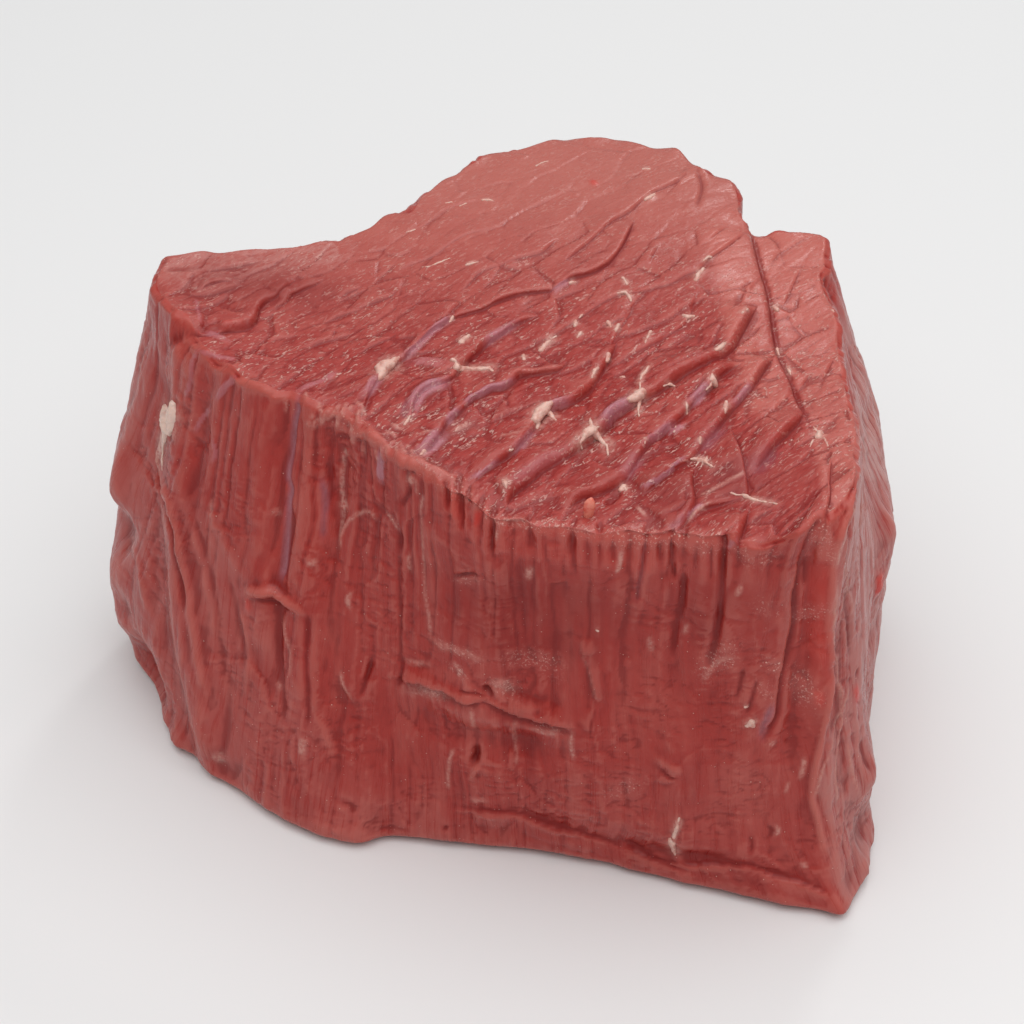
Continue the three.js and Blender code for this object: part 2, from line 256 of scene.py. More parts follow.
# Strokes over the surface: half width and height in millimetres, strength, and the photo pixels they follow.
# A negative height sinks.
SILVERSKIN = read_strokes("""
1.25 1.3 1 | 411,412 415,402 421,394 429,388 438,385 445,380
0.85 0.9 0.8 | 486,343 493,337 501,332 509,327 517,322
1.25 1.2 0.9 | 603,424 611,415 619,408 627,403 634,400
1 1 0.8 | 550,410 556,405 563,403 570,400
0.86 0.8 0.8 | 645,446 654,438 664,430 673,423
0.78 0.6 0.7 | 668,432 676,430 682,425
1.09 0.9 0.9 | 690,404 698,397 704,390 709,383
0.86 0.7 0.8 | 733,405 740,398 746,392 751,384
1.1 0.8 0.4 | 411,363 420,361 432,362 444,364
0.72 0.5 0.8 | 404,357 415,350 424,341 432,333 441,325 451,318
0.9 0.6 0.7 | 363,396 370,389 376,382 380,376
0.54 0.7 0.9 | 465,405 472,398 481,394 490,388 500,386 508,384 514,379
1.4 0.5 0.8 | 420,455 428,447 434,440 441,434
0.78 0.4 0.8 | 446,424 452,417 459,410
0.94 0.5 0.6 | 512,452 520,445 527,437 533,430
0.45 0.3 0.8 | 471,478 480,474 489,468 497,461
0.72 0.5 0.55 | 205,333 216,337 226,341
0.45 0.3 0.5 | 198,350 208,354 220,357 236,359
0.45 0.3 0.45 | 197,351 192,362 191,375 188,388 184,397
0.6 0.4 0.55 | 298,391 308,386 320,382 328,378 334,372
0.36 0.3 0.9 | 640,487 650,483 660,478 672,467 685,457
0.32 0.25 0.9 | 687,518 697,508 705,504
0.72 0.5 0.6 | 552,294 560,288 569,282
0.78 0.4 0.9 | 382,449 381,460 380,470 381,483
0.36 0.3 0.6 | 726,551 732,543 738,536
0.63 0.3 0.5 | 233,378 224,388 217,400
0.45 0.2 0.4 | 214,438 216,450 214,462
0.45 0.2 0.5 | 210,408 200,420 194,432
0.36 0.3 0.35 | 196,300 200,318 205,333
""")
SILVER_RISE = 0.7
# Valleys of silverskin, with painted shade in them
PURPLE_VALLEYS = read_strokes("""
1.5 -0.6 0.7 | 700,451 706,445 713,438 720,428
1.3 -0.3 0.5 | 624,477 630,468 636,460 641,452
1.8 -0.6 0.45 | 752,474 759,465 767,458 773,448
1.2 -0.2 0.35 | 508,486 518,478 530,470 545,460 560,452 572,446
0.55 -0.7 1 | 300,393 297,408 294,422 292,438 291,452 289,466 288,478 290,490 288,502 287,514 286,527 285,540
  284,555 283,568 281,580
0.6 -0.4 0.6 | 321,480 324,492 325,505 324,520 323,538
0.5 -0.9 0.16 | 646,534 645,546 643,560 641,576 638,590 636,604
0.8 -0.6 0.7 | 774,706 769,718 764,730 762,742
0.9 -0.3 0.5 | 408,420 406,408 411,399
0.7 -0.5 0.5 | 668,528 678,521 686,512
""")
# Broad hollows of the wall and the cut face, some sunk, with painted shade in them
HOLLOWS = read_strokes("""
12 0 0.36 | 430,605 480,615 540,620 600,620 650,620
8 -0.9 0.45 | 455,600 490,604 530,602 570,604 605,610 635,612
6 -0.6 0.46 | 480,640 540,645 590,640
3.5 -0.5 0.15 | 430,560 440,590 445,620
3 -0.6 0.15 | 345,690 352,720 362,745
3 -0.5 0.15 | 245,640 262,670 270,700
1.4 -0.5 0.5 | 404,689 430,694 456,704
1.2 -0.5 0.45 | 500,713 530,723 562,732 588,738
9 0 0.65 | 190,280 240,285 300,290 340,300
9 0 0.62 | 620,500 680,490 740,480 790,470
6 0 0.2 | 560,490 610,470 660,450
5 0 0.2 | 690,590 735,600 775,620
""")
# Grooves, with painted shade in them
GROOVES = read_strokes("""
0.5 -0.4 0.4 | 528,522 529,535 528,550
0.6 -0.5 0.5 | 571,530 573,545 573,560 575,575 576,590
0.5 -0.4 0.3 | 599,540 600,555 598,570
0.7 -0.5 0.4 | 672,545 671,558 668,570 666,582
0.7 -0.8 0.55 | 684,572 683,585 682,598 680,610 677,622 675,635 673,652
0.8 -1.1 0.65 | 722,546 721,560 720,575 720,590 719,605 718,620 716,635 713,648 709,662
0.45 -1.2 0.8 | 452,578 460,577 468,577 477,579
0.5 -0.4 0.4 | 476,581 480,592 483,605 485,620 487,636
0.5 -0.5 0.5 | 559,638 570,637 580,640
0.6 -0.5 0.4 | 567,619 576,617 584,620
0.75 -1.8 1 | 481,688 486,690 490,693 496,697
0.35 -0.4 0.5 | 460,690 470,691 480,694 487,697
1.1 -0.6 0.4 | 576,722 583,730 588,738
0.6 -1 0.7 | 400,656 402,665 401,675 398,686
0.6 -0.8 0.5 | 371,660 368,672 364,684 360,697
0.4 -0.4 0.4 | 399,560 398,580 399,600 400,620 400,640 401,656
0.8 -0.9 0.7 | 399,531 400,540 399,550
0.9 -1.8 1 | 476,745 475,755 472,766
0.5 -0.4 0.4 | 380,829 395,828 406,831
0.8 -0.6 0.5 | 443,827 448,830
0.7 -0.6 0.5 | 824,514 816,524 809,536 804,548 801,560
0.8 -1.2 0.75 | 802,556 799,575 796,590 795,605 794,620 791,640 788,660 784,680 781,700 779,715 773,728
  766,740
0.5 -0.6 0.8 | 806,556 805,570 803,584
0.5 -0.5 0.5 | 758,680 754,690 751,702 748,712
0.5 -0.5 0.4 | 743,670 740,685 736,700
0.4 -0.5 0.6 | 660,770 668,777 677,780
0.5 -0.5 0.5 | 768,827 772,833 769,839
0.6 -0.5 0.4 | 750,836 752,846 750,855
0.6 -0.8 0.7 | 255,598 265,600 275,601 285,606
0.6 -0.9 0.8 | 414,468 411,474
0.5 -0.6 0.6 | 409,488 405,498 401,506
0.5 -0.4 0.5 | 328,462 330,476 331,490 329,504
0.8 -0.6 0.6 | 289,505 291,520 289,535 287,552 284,572
0.6 -0.4 0.4 | 316,440 315,455 313,468
0.7 -0.8 0.7 | 196,325 206,330 222,327
1.6 -1.6 0.8 | 198,325 212,324 224,322
0.8 -0.7 0.6 | 232,326 242,325 251,320
0.35 -0.5 0.7 | 236,352 239,358 241,364
0.4 -0.5 0.7 | 450,385 452,398 451,412
0.35 -0.4 0.6 | 506,392 507,400 508,408
0.45 -0.4 0.4 | 831,451 827,462 829,474 826,486 828,497
0.9 -1 0.9 | 606,504 613,498 620,490
0.5 -0.4 0.5 | 696,168 702,186 697,206
0.9 -0.9 0.5 | 158,460 161,490 167,520 174,550 180,580 185,610
0.8 -0.6 0.5 | 279,600 279,620 278,640 279,660 280,680 282,700 283,720
0.8 -0.6 0.5 | 307,610 307,630 306,650 306,670 308,690 308,710 306,730
1.2 -0.5 0.3 | 196,520 206,560 214,600 220,640 226,680
1.2 -0.4 0.25 | 228,580 238,620 244,660 250,700
0.8 -0.5 0.3 | 338,800 350,806 352,815
0.7 -0.6 0.5 | 624,840 640,848 660,862 690,870
0.6 -0.5 0.4 | 756,868 775,873 792,880
0.5 -0.5 0.5 | 858,668 857,677
0.7 -0.6 0.4 | 862,740 868,765 872,790
0.7 -0.5 0.3 | 845,600 848,625 850,650
""")
# Pale fat and tissue, and thin lines of painted highlight along lips, edges and wet bands
PALE_LINES = read_strokes("""
0.32 0.15 0.5 | 636,506 641,511 646,516
0.32 0.15 0.5 | 686,524 694,514 702,507 711,501
0.32 0.15 0.45 | 700,495 715,487 730,479 745,471
0.35 0.2 0.35 | 486,595 492,605 495,620 497,632 494,646
0.35 0.2 0.25 | 558,640 560,655 565,670
0.3 0.1 0.2 | 580,648 585,662 591,678 596,698
0.8 0.15 0.2 | 430,640 445,646 458,650 470,655 482,661
0.5 0.3 0.4 | 455,663 459,670 460,676
0.5 0.3 0.35 | 405,660 415,663 430,665
1.2 0.3 0.25 | 400,690 415,692 430,694 446,698
1.1 0.3 0.3 | 491,688 500,684 513,690
0.7 0.2 0.3 | 532,730 545,733 559,731
0.4 0.2 0.45 | 805,757 803,768 800,779
0.35 0.2 0.35 | 789,782 785,793
0.4 0.2 0.45 | 769,744 776,744
0.35 0.3 0.5 | 776,826 779,832 774,837
0.6 0.2 0.4 | 803,862 805,869
0.45 0.4 0.6 | 679,818 676,829 674,838 671,844
0.4 0.3 0.5 | 673,848 675,855
0.35 0.2 0.3 | 515,722 514,735 516,750 517,765
0.4 0.2 0.4 | 471,709 472,719 474,729
0.35 0.3 0.4 | 453,750 449,762 448,775 448,789
0.35 0.3 0.45 | 572,732 571,742 572,751 574,761
0.6 0.3 0.6 | 530,569 528,581
0.5 0.2 0.4 | 650,638 651,653
0.4 0.2 0.4 | 688,624 685,633
0.35 0.2 0.45 | 344,452 343,464 342,477 341,490 343,502 343,514 342,528 341,545
0.6 0.3 0.65 | 344,451 349,453
1 0.3 0.6 | 344,501 345,510
0.3 0.12 0.4 | 423,496 420,510 421,525 422,540 423,555 423,570 423,585 424,600 427,612 429,624 430,638
0.3 0.2 0.4 | 408,554 408,565 409,573
0.45 0.3 0.4 | 351,591 348,600 350,610
0.9 0.3 0.4 | 311,559 314,566
0.7 0.3 0.35 | 274,514 280,510
0.4 0.2 0.35 | 212,498 211,510 213,521
0.4 0.3 0.35 | 340,548 345,527 358,514 370,512 375,519
0.8 0.3 0.5 | 411,476 408,485
0.35 0.2 0.4 | 384,511 392,520 398,530
0.7 0.3 0.5 | 304,738 302,748 303,756
1.2 0.3 0.4 | 214,760 224,757
0.8 0.3 0.35 | 275,687 281,686
0.5 0.3 0.3 | 283,616 285,632 290,650 290,675
0.4 0.3 0.4 | 341,672 343,686 350,700 357,714
0.5 0.3 0.5 | 590,603 595,606
0.4 0.3 0.45 | 737,596 741,586
0.5 0.1 0.25 | 703,681 712,668 722,660 737,656
0.5 0.4 0.5 | 857,505 850,520 845,535 839,550 836,566
0.4 0.3 0.4 | 834,578 836,600 834,620 834,640 836,660 838,680 843,697
0.35 0.3 0.35 | 846,560 846,585 851,600 850,615
0.35 0.3 0.3 | 862,500 860,530 858,560 858,590
0.35 0.3 0.35 | 848,690 840,715 832,745 822,770 815,795
0.35 0.3 0.3 | 840,690 842,715 838,745 834,770 838,800
0.35 0.3 0.3 | 846,745 852,775 862,800
0.6 0.3 0.3 | 470,800 487,801
0.4 0.2 0.5 | 497,530 495,540
0.4 0.3 0.6 | 621,548 620,562 617,572
0.5 0.4 0.5 | 164,446 161,458 162,474
0.35 0.3 0.5 | 355,402 362,407 364,416
0.3 0.3 0.5 | 318,402 321,412 322,424
0.4 0.3 0.5 | 349,424 355,432 352,441
0.35 0.3 0.5 | 385,433 392,432 396,437
0.35 0.3 0.5 | 392,424 400,428 404,425
0.3 0.3 0.4 | 335,413 338,422 336,431
0.3 0.3 0.4 | 281,394 286,401 286,411
0.35 0.3 0.5 | 421,434 428,431 434,433
0.4 0.3 0.6 | 455,430 462,427 469,424
0.3 0.3 0.5 | 500,436 511,434 522,432
0.3 0.2 0.4 | 505,519 515,521 524,520
""")
# Ridges, with painted highlight on them
RIDGES = read_strokes("""
1.6 0.35 0.3 | 500,522 529,528 555,532 579,535 612,539 646,541 686,545 718,548
2.4 0.9 0.6 | 821,524 821,540 820,562
3 0 0.25 | 814,545 818,600 820,680 812,760
0.8 0.6 0.6 | 232,380 250,384 270,392 290,397
0.9 0.6 0.5 | 330,425 350,432 370,437 385,444
1.2 0.3 0.3 | 425,668 445,674 465,682 478,688
1.1 0.5 0.35 | 486,696 498,694 512,700 526,706 545,704
0.5 0.6 0.6 | 478,765 474,772 470,779
1 0.5 0.3 | 655,757 665,765 675,770 683,775
1.1 1.5 0.6 | 243,594 252,592 262,592 272,590 281,595 289,602 297,609 304,614
0.7 0.7 0.9 | 859,488 851,510 843,530 836,548 833,564 833,580 832,600 829,620 830,640 832,655 832,672 830,692
  827,715 822,740 816,765 812,790 813,803 818,820 821,835 825,853
1.3 0.8 0.35 | 162,470 167,500 174,530 181,560 187,590 192,620 197,650 204,690
1.6 0.4 0.15 | 178,480 188,515 200,550 208,585 216,620 222,655
1.6 0.4 0.15 | 205,500 220,535 236,565 252,590
1.4 0.4 0.15 | 132,530 138,560 144,595 152,625
1.2 0.5 0.3 | 310,690 316,710 326,735 335,757
0.8 0.5 0.2 | 240,610 246,640 247,665 246,690
1.2 1 0.8 | 394,456 404,460 414,462 424,466 436,472 448,478 458,483
0.8 0.7 0.7 | 404,466 412,466 417,470
0.8 0.5 0.6 | 512,373 528,371 545,370 560,369
0.6 0.5 0.5 | 365,428 372,434 380,440 388,447
1.5 0.7 0.2 | 583,640 590,655
""")
# The crisp front rim, between which photo columns its edge is sharp, over how many it eases in, and how many
# rows of the wall lose how much of their roll
FRONT_RIM = read_points("""
436,474 457,483 475,497 493,511 527,518 550,521 579,526 612,529 646,530 686,534 706,537 728,539
""")
CRISP_RIM = (432, 738)
CRISP_EASE = 14
ROLL_ROWS = 5
ROLL_SHARE = 0.85
# A photo pixel in millimetres there, the photo column left of which all grooves that part the rim are deep,
# the columns of the other deep ones, and those of all
PIXEL = 0.21
LEFT_PARTINGS = 500
RIM_PARTINGS = (529, 573, 599, 647, 671, 684, 722)
RIM_GROOVES = [447, 458, 468, 481, 493, 509, 529, 545, 558, 573, 587, 599, 613, 631, 647, 659, 671, 684, 698,
               711, 722]

# Steps in the wall, with painted shade under each lip: the proud side lies on the left of the way the points
# run.
STEPS_DOWN = read_strokes("""
1.2 1.2 0.7 | 612,843 600,838 585,834 573,830 560,828 545,824 530,819 515,815 500,814 485,812 468,811
0.8 0.8 0.5 | 860,905 830,896 800,884 775,878 755,868 720,865 690,866 655,860 625,848
0.6 0.7 0.5 | 581,645 585,657 590,672 595,690 597,702
1 1.4 0.7 | 396,678 408,679 418,681 427,684 434,688 444,690 453,695 462,700 474,701 484,699
1.1 1.4 0.65 | 484,699 493,703 501,707 509,710 520,716 529,717 537,722 549,721 558,725 568,728
0.6 0.7 0.5 | 589,739 590,722 594,708
""")
# Places where the meat's torn surface glistens, with painted glints in frosty clusters
FROST = read_strokes("""
1.3 0 0.9 | 440,480 457,489 475,503 493,516 510,521 527,524 550,527 579,532 600,534
1.9 0 1 | 596,533 612,536 630,538 646,536 666,540 686,541 706,546 722,550
1.4 0 0.6 | 735,540 745,560 760,562 775,556 785,548
1.6 0 0.9 | 738,643 725,650 714,660 703,676
1.2 0 0.8 | 738,660 727,663 716,668
1.6 0 0.6 | 757,604 770,612 784,616
1.6 0 0.8 | 762,660 774,665 782,672
1.3 0 0.7 | 757,682 766,692 770,704
2.2 0 1 | 792,672 800,680 808,694 810,708
1.4 0 0.8 | 790,618 804,612 820,612 832,606
1.6 0 0.9 | 812,520 822,535 828,550 826,562
1.2 0 0.9 | 436,640 450,648 464,653 480,660
1 0 0.8 | 448,664 460,672 462,682
2 0 0.7 | 500,664 520,660 545,662 556,676
1.6 0 0.9 | 492,688 505,686 518,692
1.5 0 0.8 | 412,688 430,692 448,699
1 0 0.8 | 530,728 545,732 560,734
0.8 0 0.9 | 452,582 465,583 477,583
1.6 0 0.5 | 600,800 620,790 640,780
2 0 0.4 | 312,402 330,416 350,424 370,436 392,448
1.8 0 0.5 | 400,452 425,464 450,478 480,492
1.6 0 0.8 | 446,428 462,427 478,424
""")
# Small pale flakes under the left of the rim: how many, the photo columns that they are strewn over, their
# highest rows by column, and over how many rows they fall
FLAKES = 30
FLAKE_START = 306
FLAKE_SPAN = 112
FLAKE_TOP = ((300, 350, 389, 420), (390, 402, 430, 454))
FLAKE_DROP = 34
# Bright red spots, and two bands of painted highlight along and under the front rim
BLOODY = read_strokes("""
2.2 0.3 0.5 | 819,535 820,560 818,590 816,620 818,650 820,680
1.25 0.5 1 | 878,573 879,584 877,594
0.8 0.2 0.8 | 855,686 858,696 860,703
1.2 0.2 0.6 | 244,603 250,606
0.6 -0.3 0.8 | 478,511 475,520 474,528
0.5 -0.2 0.6 | 507,524 505,532
0.8 0.1 0.25 | 200,318 212,324 226,322 240,324 250,320
0.8 0.1 0.5 | 818,690 820,705
1.2 0 0.3 | 500,524 560,532 630,538 700,544 724,548
3 0 0.26 | 500,540 560,552 630,560 700,566
0.6 0.2 0.6 | 592,180 596,185
""")
# The patch of fat at the left end
FAT_TAG = read_points("""
168,406 169,414 169,422 168,430 165,442 163,456 162,470
""")

# Fat nodes and threads: strands of photo pixels, each with the strand's radius there in millimetres
FAT_STRANDS = read_strands("""
166,409,1.2 166,414,1.6 166,421,1.7 166,428,1.5 165,435,0.9 163,446,0.4 162,460,0.3 162,470,0.2
173,404,1 173,411,1.5 172,419,1.6 171,427,1.3 169,433,0.8
379,368,1 385,366,1.4 392,362,0.9 399,357,0.4
383,372,1.2 380,378,0.8
457,367,0.9 463,369,0.7 472,369,0.55 482,369,0.6 489,368,0.5 493,371,0.2
452,360,0.5 456,361,0.4
461,342,0.7 466,338,0.6 469,335,0.4
541,350,0.6 545,345,0.6 549,341,0.4 556,336,0.25
523,355,0.45 524,359,0.5
536,420,0.9 541,413,1.2 546,406,1 550,403,0.6
538,424,0.7 537,429,0.3
549,414,0.8 556,420,0.3
590,418,0.15 591,424,0.4 592,430,0.9 596,434,0.8 602,441,0.5 607,446,0.35 608,455,0.15
590,431,0.9 584,437,0.6 580,443,0.35 582,449,0.15
594,428,0.5 599,427,0.3
585,431,0.5 590,428,0.6
629,399,0.7 634,398,0.9 640,395,1.1 643,391,0.8
640,388,0.3 640,381,0.2 642,375,0.4 645,372,0.4 650,364,0.2
640,402,0.5 638,410,0.25 639,416,0.1
607,361,0.6 609,355,0.6
592,377,0.4 594,371,0.5 598,368,0.4
575,326,0.5 576,321,0.5
579,318,0.3 582,315,0.3
577,338,0.25 581,332,0.4
608,322,0.5 611,327,0.35
616,331,0.4 618,325,0.45
570,283,0.45 576,282,0.35
623,278,0.45 627,284,0.4
618,293,0.3 625,292,0.4 630,297,0.45 631,301,0.3
645,343,0.25 648,336,0.4 651,331,0.35
646,200,0.5 650,197,0.6 654,194,0.4
643,169,0.4 649,169,0.4
683,315,0.4 688,317,0.5 694,316,0.4
696,280,0.5 698,274,0.6 704,268,0.3
703,261,0.3 708,257,0.4 712,257,0.3
716,350,0.4 720,347,0.6 725,343,0.4
742,313,0.3 748,309,0.35
712,374,0.3 713,380,0.8 716,386,0.5
711,385,0.4 706,390,0.15
726,402,0.5 726,408,0.55 725,413,0.3
686,402,0.25 687,408,0.35 687,414,0.25
644,438,0.25 645,443,0.35
676,426,0.3 674,432,0.25
664,386,0.3 669,384,0.4 675,386,0.2
620,377,0.3 624,377,0.4
700,437,0.35 700,443,0.4
691,459,0.35 697,459,0.5 703,460,0.45 708,464,0.3 712,467,0.12
699,461,0.3 696,466,0.12
703,461,0.25 701,467,0.1
706,462,0.2 707,457,0.08
731,493,0.15 737,495,0.3 744,494,0.2
745,496,0.5 752,499,0.45 760,501,0.3 768,502,0.25 777,504,0.15
621,490,0.5 624,486,0.6 626,490,0.4
818,437,0.7 820,433,0.8
816,430,0.3 813,426,0.15
813,440,0.3 810,447,0.12
824,438,0.3 828,446,0.12
774,306,0.5 777,310,0.6
777,349,0.5 779,355,0.35
786,366,0.25 789,371,0.35 791,376,0.2
832,310,0.3 834,312,0.3
422,267,0.3 428,267,0.3 438,263,0.15 450,258,0.2
466,265,0.3 473,263,0.35 478,262,0.2
482,200,0.3 490,200,0.4 494,201,0.3
446,203,0.3 452,202,0.3
460,206,0.25 467,203,0.25
536,166,0.2 541,163,0.25 548,161,0.15
406,232,0.3 411,231,0.3 416,229,0.2
450,322,0.35 453,317,0.4
404,425,0.25 408,420,0.4 410,416,0.3
420,455,0.25 425,451,0.5
502,479,0.3 505,483,0.6 506,488,0.3
510,450,0.4 513,449,0.35
747,726,0.5 751,723,0.8 753,726,0.6
745,707,0.35 748,706,0.3
670,840,0.7 672,843,0.8 673,849,0.5 675,855,0.35
679,818,0.3 677,828,0.4 673,837,0.5
596,630,0.35 598,631,0.35
""")
# How far each point is lifted, in its own radii, a factor for the radii, the least of them in millimetres,
# and the spacing of the grid that fuses the strands
FAT_LIFT = -0.25
FAT_SIZE = 1.05
THIN_FAT = 0.26
FAT_VOXEL = 0.16 * MM

# The small upright nub at the front rim: its foot in the photo, and its radii in millimetres from foot to top
NUB_FOOT = (588, 516)
NUB_HEIGHT = 4.2 * MM
NUB_SIDES = 20
NUB_RADII = (1.0, 0.85, 0.95, 1.1, 0.95, 0.5)

# Greyish skin over the side walls, partly painted sheen: how strong, and the photo pixels round it
SKIN_AND_SHEEN = read_strokes("""
0.2 | 90,300 140,300 146,400 150,450 165,480 190,500 215,520 245,570 262,610 290,680 325,740 350,790 420,800
  470,830 470,850 90,850
1.25 | 838,255 846,300 852,350 858,420 862,480 920,480 920,255
0.66 | 862,470 848,525 838,565 836,640 840,690 830,740 815,790 822,840 832,880 850,910 920,910 920,470
0.15 | 140,330 150,330 148,420 140,420
0.1 | 240,700 330,760 480,790 640,765 830,765 850,930 420,870 240,800
0.55 | 155,240 330,235 345,262 300,272 240,288 205,296 165,278
""")
# How strong it is where the photo doesn't show the wall, and over how many photo pixels its edges fade
HIDDEN_SKIN = 0.55
SKIN_FEATHER = 9.0



def photo_ray(px, py):
    """Where the photograph's camera stands, and the way it looks through a pixel."""
    back = Vector((0, -math.cos(ELEVATION), math.sin(ELEVATION)))
    right = Vector((1, 0, 0))
    up = back.cross(right)
    way = -back + right * (px - PHOTO_MIDDLE) / FOCUS - up * (py - PHOTO_MIDDLE) / FOCUS
    return CAMERA_TARGET + back * CAMERA_DISTANCE, way.normalized()


def photo_line(px, py):
    """The same as arrays of numbers."""
    return [np.array(v) for v in photo_ray(px, py)]


def photo_points(surface, pixels):
    """The places on a surface that the photograph shows at these pixels."""
    found = [surface.ray_cast(*photo_ray(px, py))[0] for px, py in pixels]
    return np.array([place for place in found if place is not None])


def photo_places(height, pixels, proud):
    """The places at a height above a level surface that the photograph shows at these pixels, in plan."""
    found = []
    for (px, py), rise in zip(pixels, proud):
        start, way = photo_line(px, py)
        level = CAMERA_TARGET.z + 0.5 * CAD_BOX[1][2]
        for _ in range(AIM_STEPS):
            place = start + way * (level - start[2]) / way[2]
            level = height(place[None, :2])[0] + rise
        found.append(place[:2])
    return np.array(found)


def photo_pixels(places):
    """Where places show in the photograph."""
    start, ahead = photo_line(PHOTO_MIDDLE, PHOTO_MIDDLE)
    right = np.array([1.0, 0, 0])
    down = np.cross(ahead, right)
    away = places - start
    depth = away @ ahead
    return PHOTO_MIDDLE + FOCUS * (away @ right) / depth, PHOTO_MIDDLE + FOCUS * (away @ down) / depth


def cubic(a, b, c, d, t):
    """The curve from b to c that comes from a and goes on to d."""
    bend, twist = 2 * a - 5 * b + 4 * c - d, 3 * b - a - 3 * c + d
    return 0.5 * (2 * b + (c - a) * t + bend * t ** 2 + twist * t ** 3)


def smooth_line(line, step):
    """Places about a step apart on a smooth curve through a line's points."""
    ends = np.vstack([2 * line[0] - line[1], line, 2 * line[-1] - line[-2]])
    out = []
    for a, b, c, d in zip(ends[:-3], ends[1:-2], ends[2:-1], ends[3:]):
        count = max(1, int(round(np.linalg.norm(c - b) / step)))
        out.append(cubic(a, b, c, d, np.arange(count)[:, None] / count))
    return np.vstack(out + [line[-1:]])


def near_line(places, line, reach):
    """The places within reach of a line: which, how far, how far along, the nearest points and headings."""
    low, high = line.min(0) - reach, line.max(0) + reach
    chosen = np.flatnonzero(np.all((places > low) & (places < high), axis=1))
    p = places[chosen]
    best = np.full(len(p), np.inf)
    along = np.zeros(len(p))
    point = np.zeros_like(p)
    heading = np.zeros_like(p)
    start = 0.0
    for a, b in zip(line[:-1], line[1:]):
        step = b - a
        length = np.linalg.norm(step)
        t = np.clip((p - a) @ step / length ** 2, 0, 1)
        nearest = a + t[:, None] * step
        distance = np.linalg.norm(p - nearest, axis=1)
        closer = distance < best
        best[closer] = distance[closer]
        along[closer] = start + t[closer] * length
        point[closer] = nearest[closer]
        heading[closer] = step / length
        start += length
    keep = best < reach
    return chosen[keep], best[keep], along[keep], point[keep], heading[keep], start


def left_of(line):
    """The level direction to the left of a line in plan, at each of its points."""
    way = np.gradient(line, axis=0)
    way /= np.linalg.norm(way, axis=1)[:, None]
    return np.stack([-way[:, 1], way[:, 0]], 1)


def ease(x):
    """From 0 to 1 with level ends."""
    x = np.clip(x, 0, 1)
    return x * x * (3 - 2 * x)


def batches(count, size):
    """The numbers up to a count in batches of about a size, which keep a calculation small."""
    return np.array_split(np.arange(count), max(1, count // size))


def cad_rings():
    """The CAD block's wall rings from the foot to the rim, in step with each other, and its cut's points."""
    bm = bmesh.new()
    bm.from_mesh(frame["nodes"][NODE].data)
    bmesh.ops.remove_doubles(bm, verts=bm.verts, dist=1e-6)
    sole = max(bm.verts, key=lambda v: len(v.link_edges) if v.co.z < 1e-5 else 0)
    seen = {sole}
    ring = {e.other_vert(sole) for e in sole.link_edges}
    rings = []
    for _ in range(WALL_RINGS):
        walk = [next(iter(ring))]
        left = ring - {walk[0]}
        while left:
            last = walk[-1]
            follow = next(e.other_vert(last) for e in last.link_edges if e.other_vert(last) in left)
            walk.append(follow)
            left.discard(follow)
        rings.append(in_step(np.array([v.co for v in walk]), rings))
        seen |= ring
        ring = {e.other_vert(v) for v in ring for e in v.link_edges} - seen
    cut = np.array([v.co for v in bm.verts if v not in seen])
    bm.free()
    return np.array(rings), cut


def in_step(ring, rings):
    """The ring's points counter-clockwise, starting where they lie closest to the ring below."""
    x, y = (ring[:, :2] - HUB).T
    if np.sum(x * np.roll(y, -1) - y * np.roll(x, -1)) < 0:
        ring = ring[::-1]
    if not rings:
        return np.roll(ring, -int(np.argmin(np.arctan2(ring[:, 1] - HUB[1], ring[:, 0] - HUB[0]))), axis=0)
    gaps = [np.linalg.norm(np.roll(ring, -s, axis=0) - rings[-1], axis=1).sum() for s in range(len(ring))]
    return np.roll(ring, -int(np.argmin(gaps)), axis=0)


def round_ring(ring, at):
    """Places on the closed smooth curve through a ring's points, at fractional point numbers."""
    i = np.floor(at).astype(int)
    before, here, after, beyond = (ring[(i + step) % len(ring)] for step in (-1, 0, 1, 2))
    return cubic(before, here, after, beyond, (at - i)[:, None])


def up_columns(rings, at):
    """Places on the smooth curves up the rings, at fractional ring numbers."""
    last = len(rings) - 1
    i = np.minimum(np.floor(at).astype(int), last - 1)
    below = rings[np.maximum(i - 1, 0)]
    above = rings[np.minimum(i + 2, last)]
    return cubic(below, rings[i], rings[i + 1], above, (at - i)[:, None, None])


def wall_grid():
    """The wall as rows of points from the foot to the rim, finer than the CAD, and the cut face's points."""
    rings, cut = cad_rings()
    count = rings.shape[1]
    fine = round_ring(rings[-1], np.linspace(0, count, RIM_SAMPLES, endpoint=False))
    steps = np.linalg.norm(np.roll(fine, -1, axis=0) - fine, axis=1)
    travelled = np.append(0, np.cumsum(steps))
    places = np.linspace(0, travelled[-1], COLUMNS, endpoint=False)
    at = np.interp(places, travelled, np.linspace(0, count, RIM_SAMPLES + 1))
    wide = np.array([round_ring(ring, at) for ring in rings])
    climbs = np.append(0, np.cumsum(np.linalg.norm(np.diff(wide, axis=0), axis=2).mean(1)))
    rows = np.interp(np.linspace(0, climbs[-1], ROWS + 1), climbs, np.arange(len(climbs)))
    return up_columns(wide, rows), cut


def nudged(rows, cut):
    """The wall's rows and the cut's points, eased over level so that the outline is the photograph's."""
    places = np.vstack([rows.reshape(-1, 3), cut])
    start, ahead = photo_line(PHOTO_MIDDLE, PHOTO_MIDDLE)
    for px, py, right, down, reach in NUDGES:
        x, y = photo_pixels(places)
        gap = np.hypot(x - px, y - py)
        depth = (places - start) @ ahead
        nearest = places[np.argmin(np.where(gap < max(NUDGE_AIM, gap.min() + 1), depth, np.inf))]
        share = np.exp(-((places - nearest) ** 2).sum(1) / (reach * MM) ** 2)
        pixel = (nearest - start) @ ahead * SENSOR / LENS / PHOTO_SIZE
        places[:, 0] += share * right * pixel
        places[:, 1] -= share * down * pixel / math.sin(ELEVATION)
    count = (ROWS + 1) * COLUMNS
    return places[:count].reshape(rows.shape), places[count:]


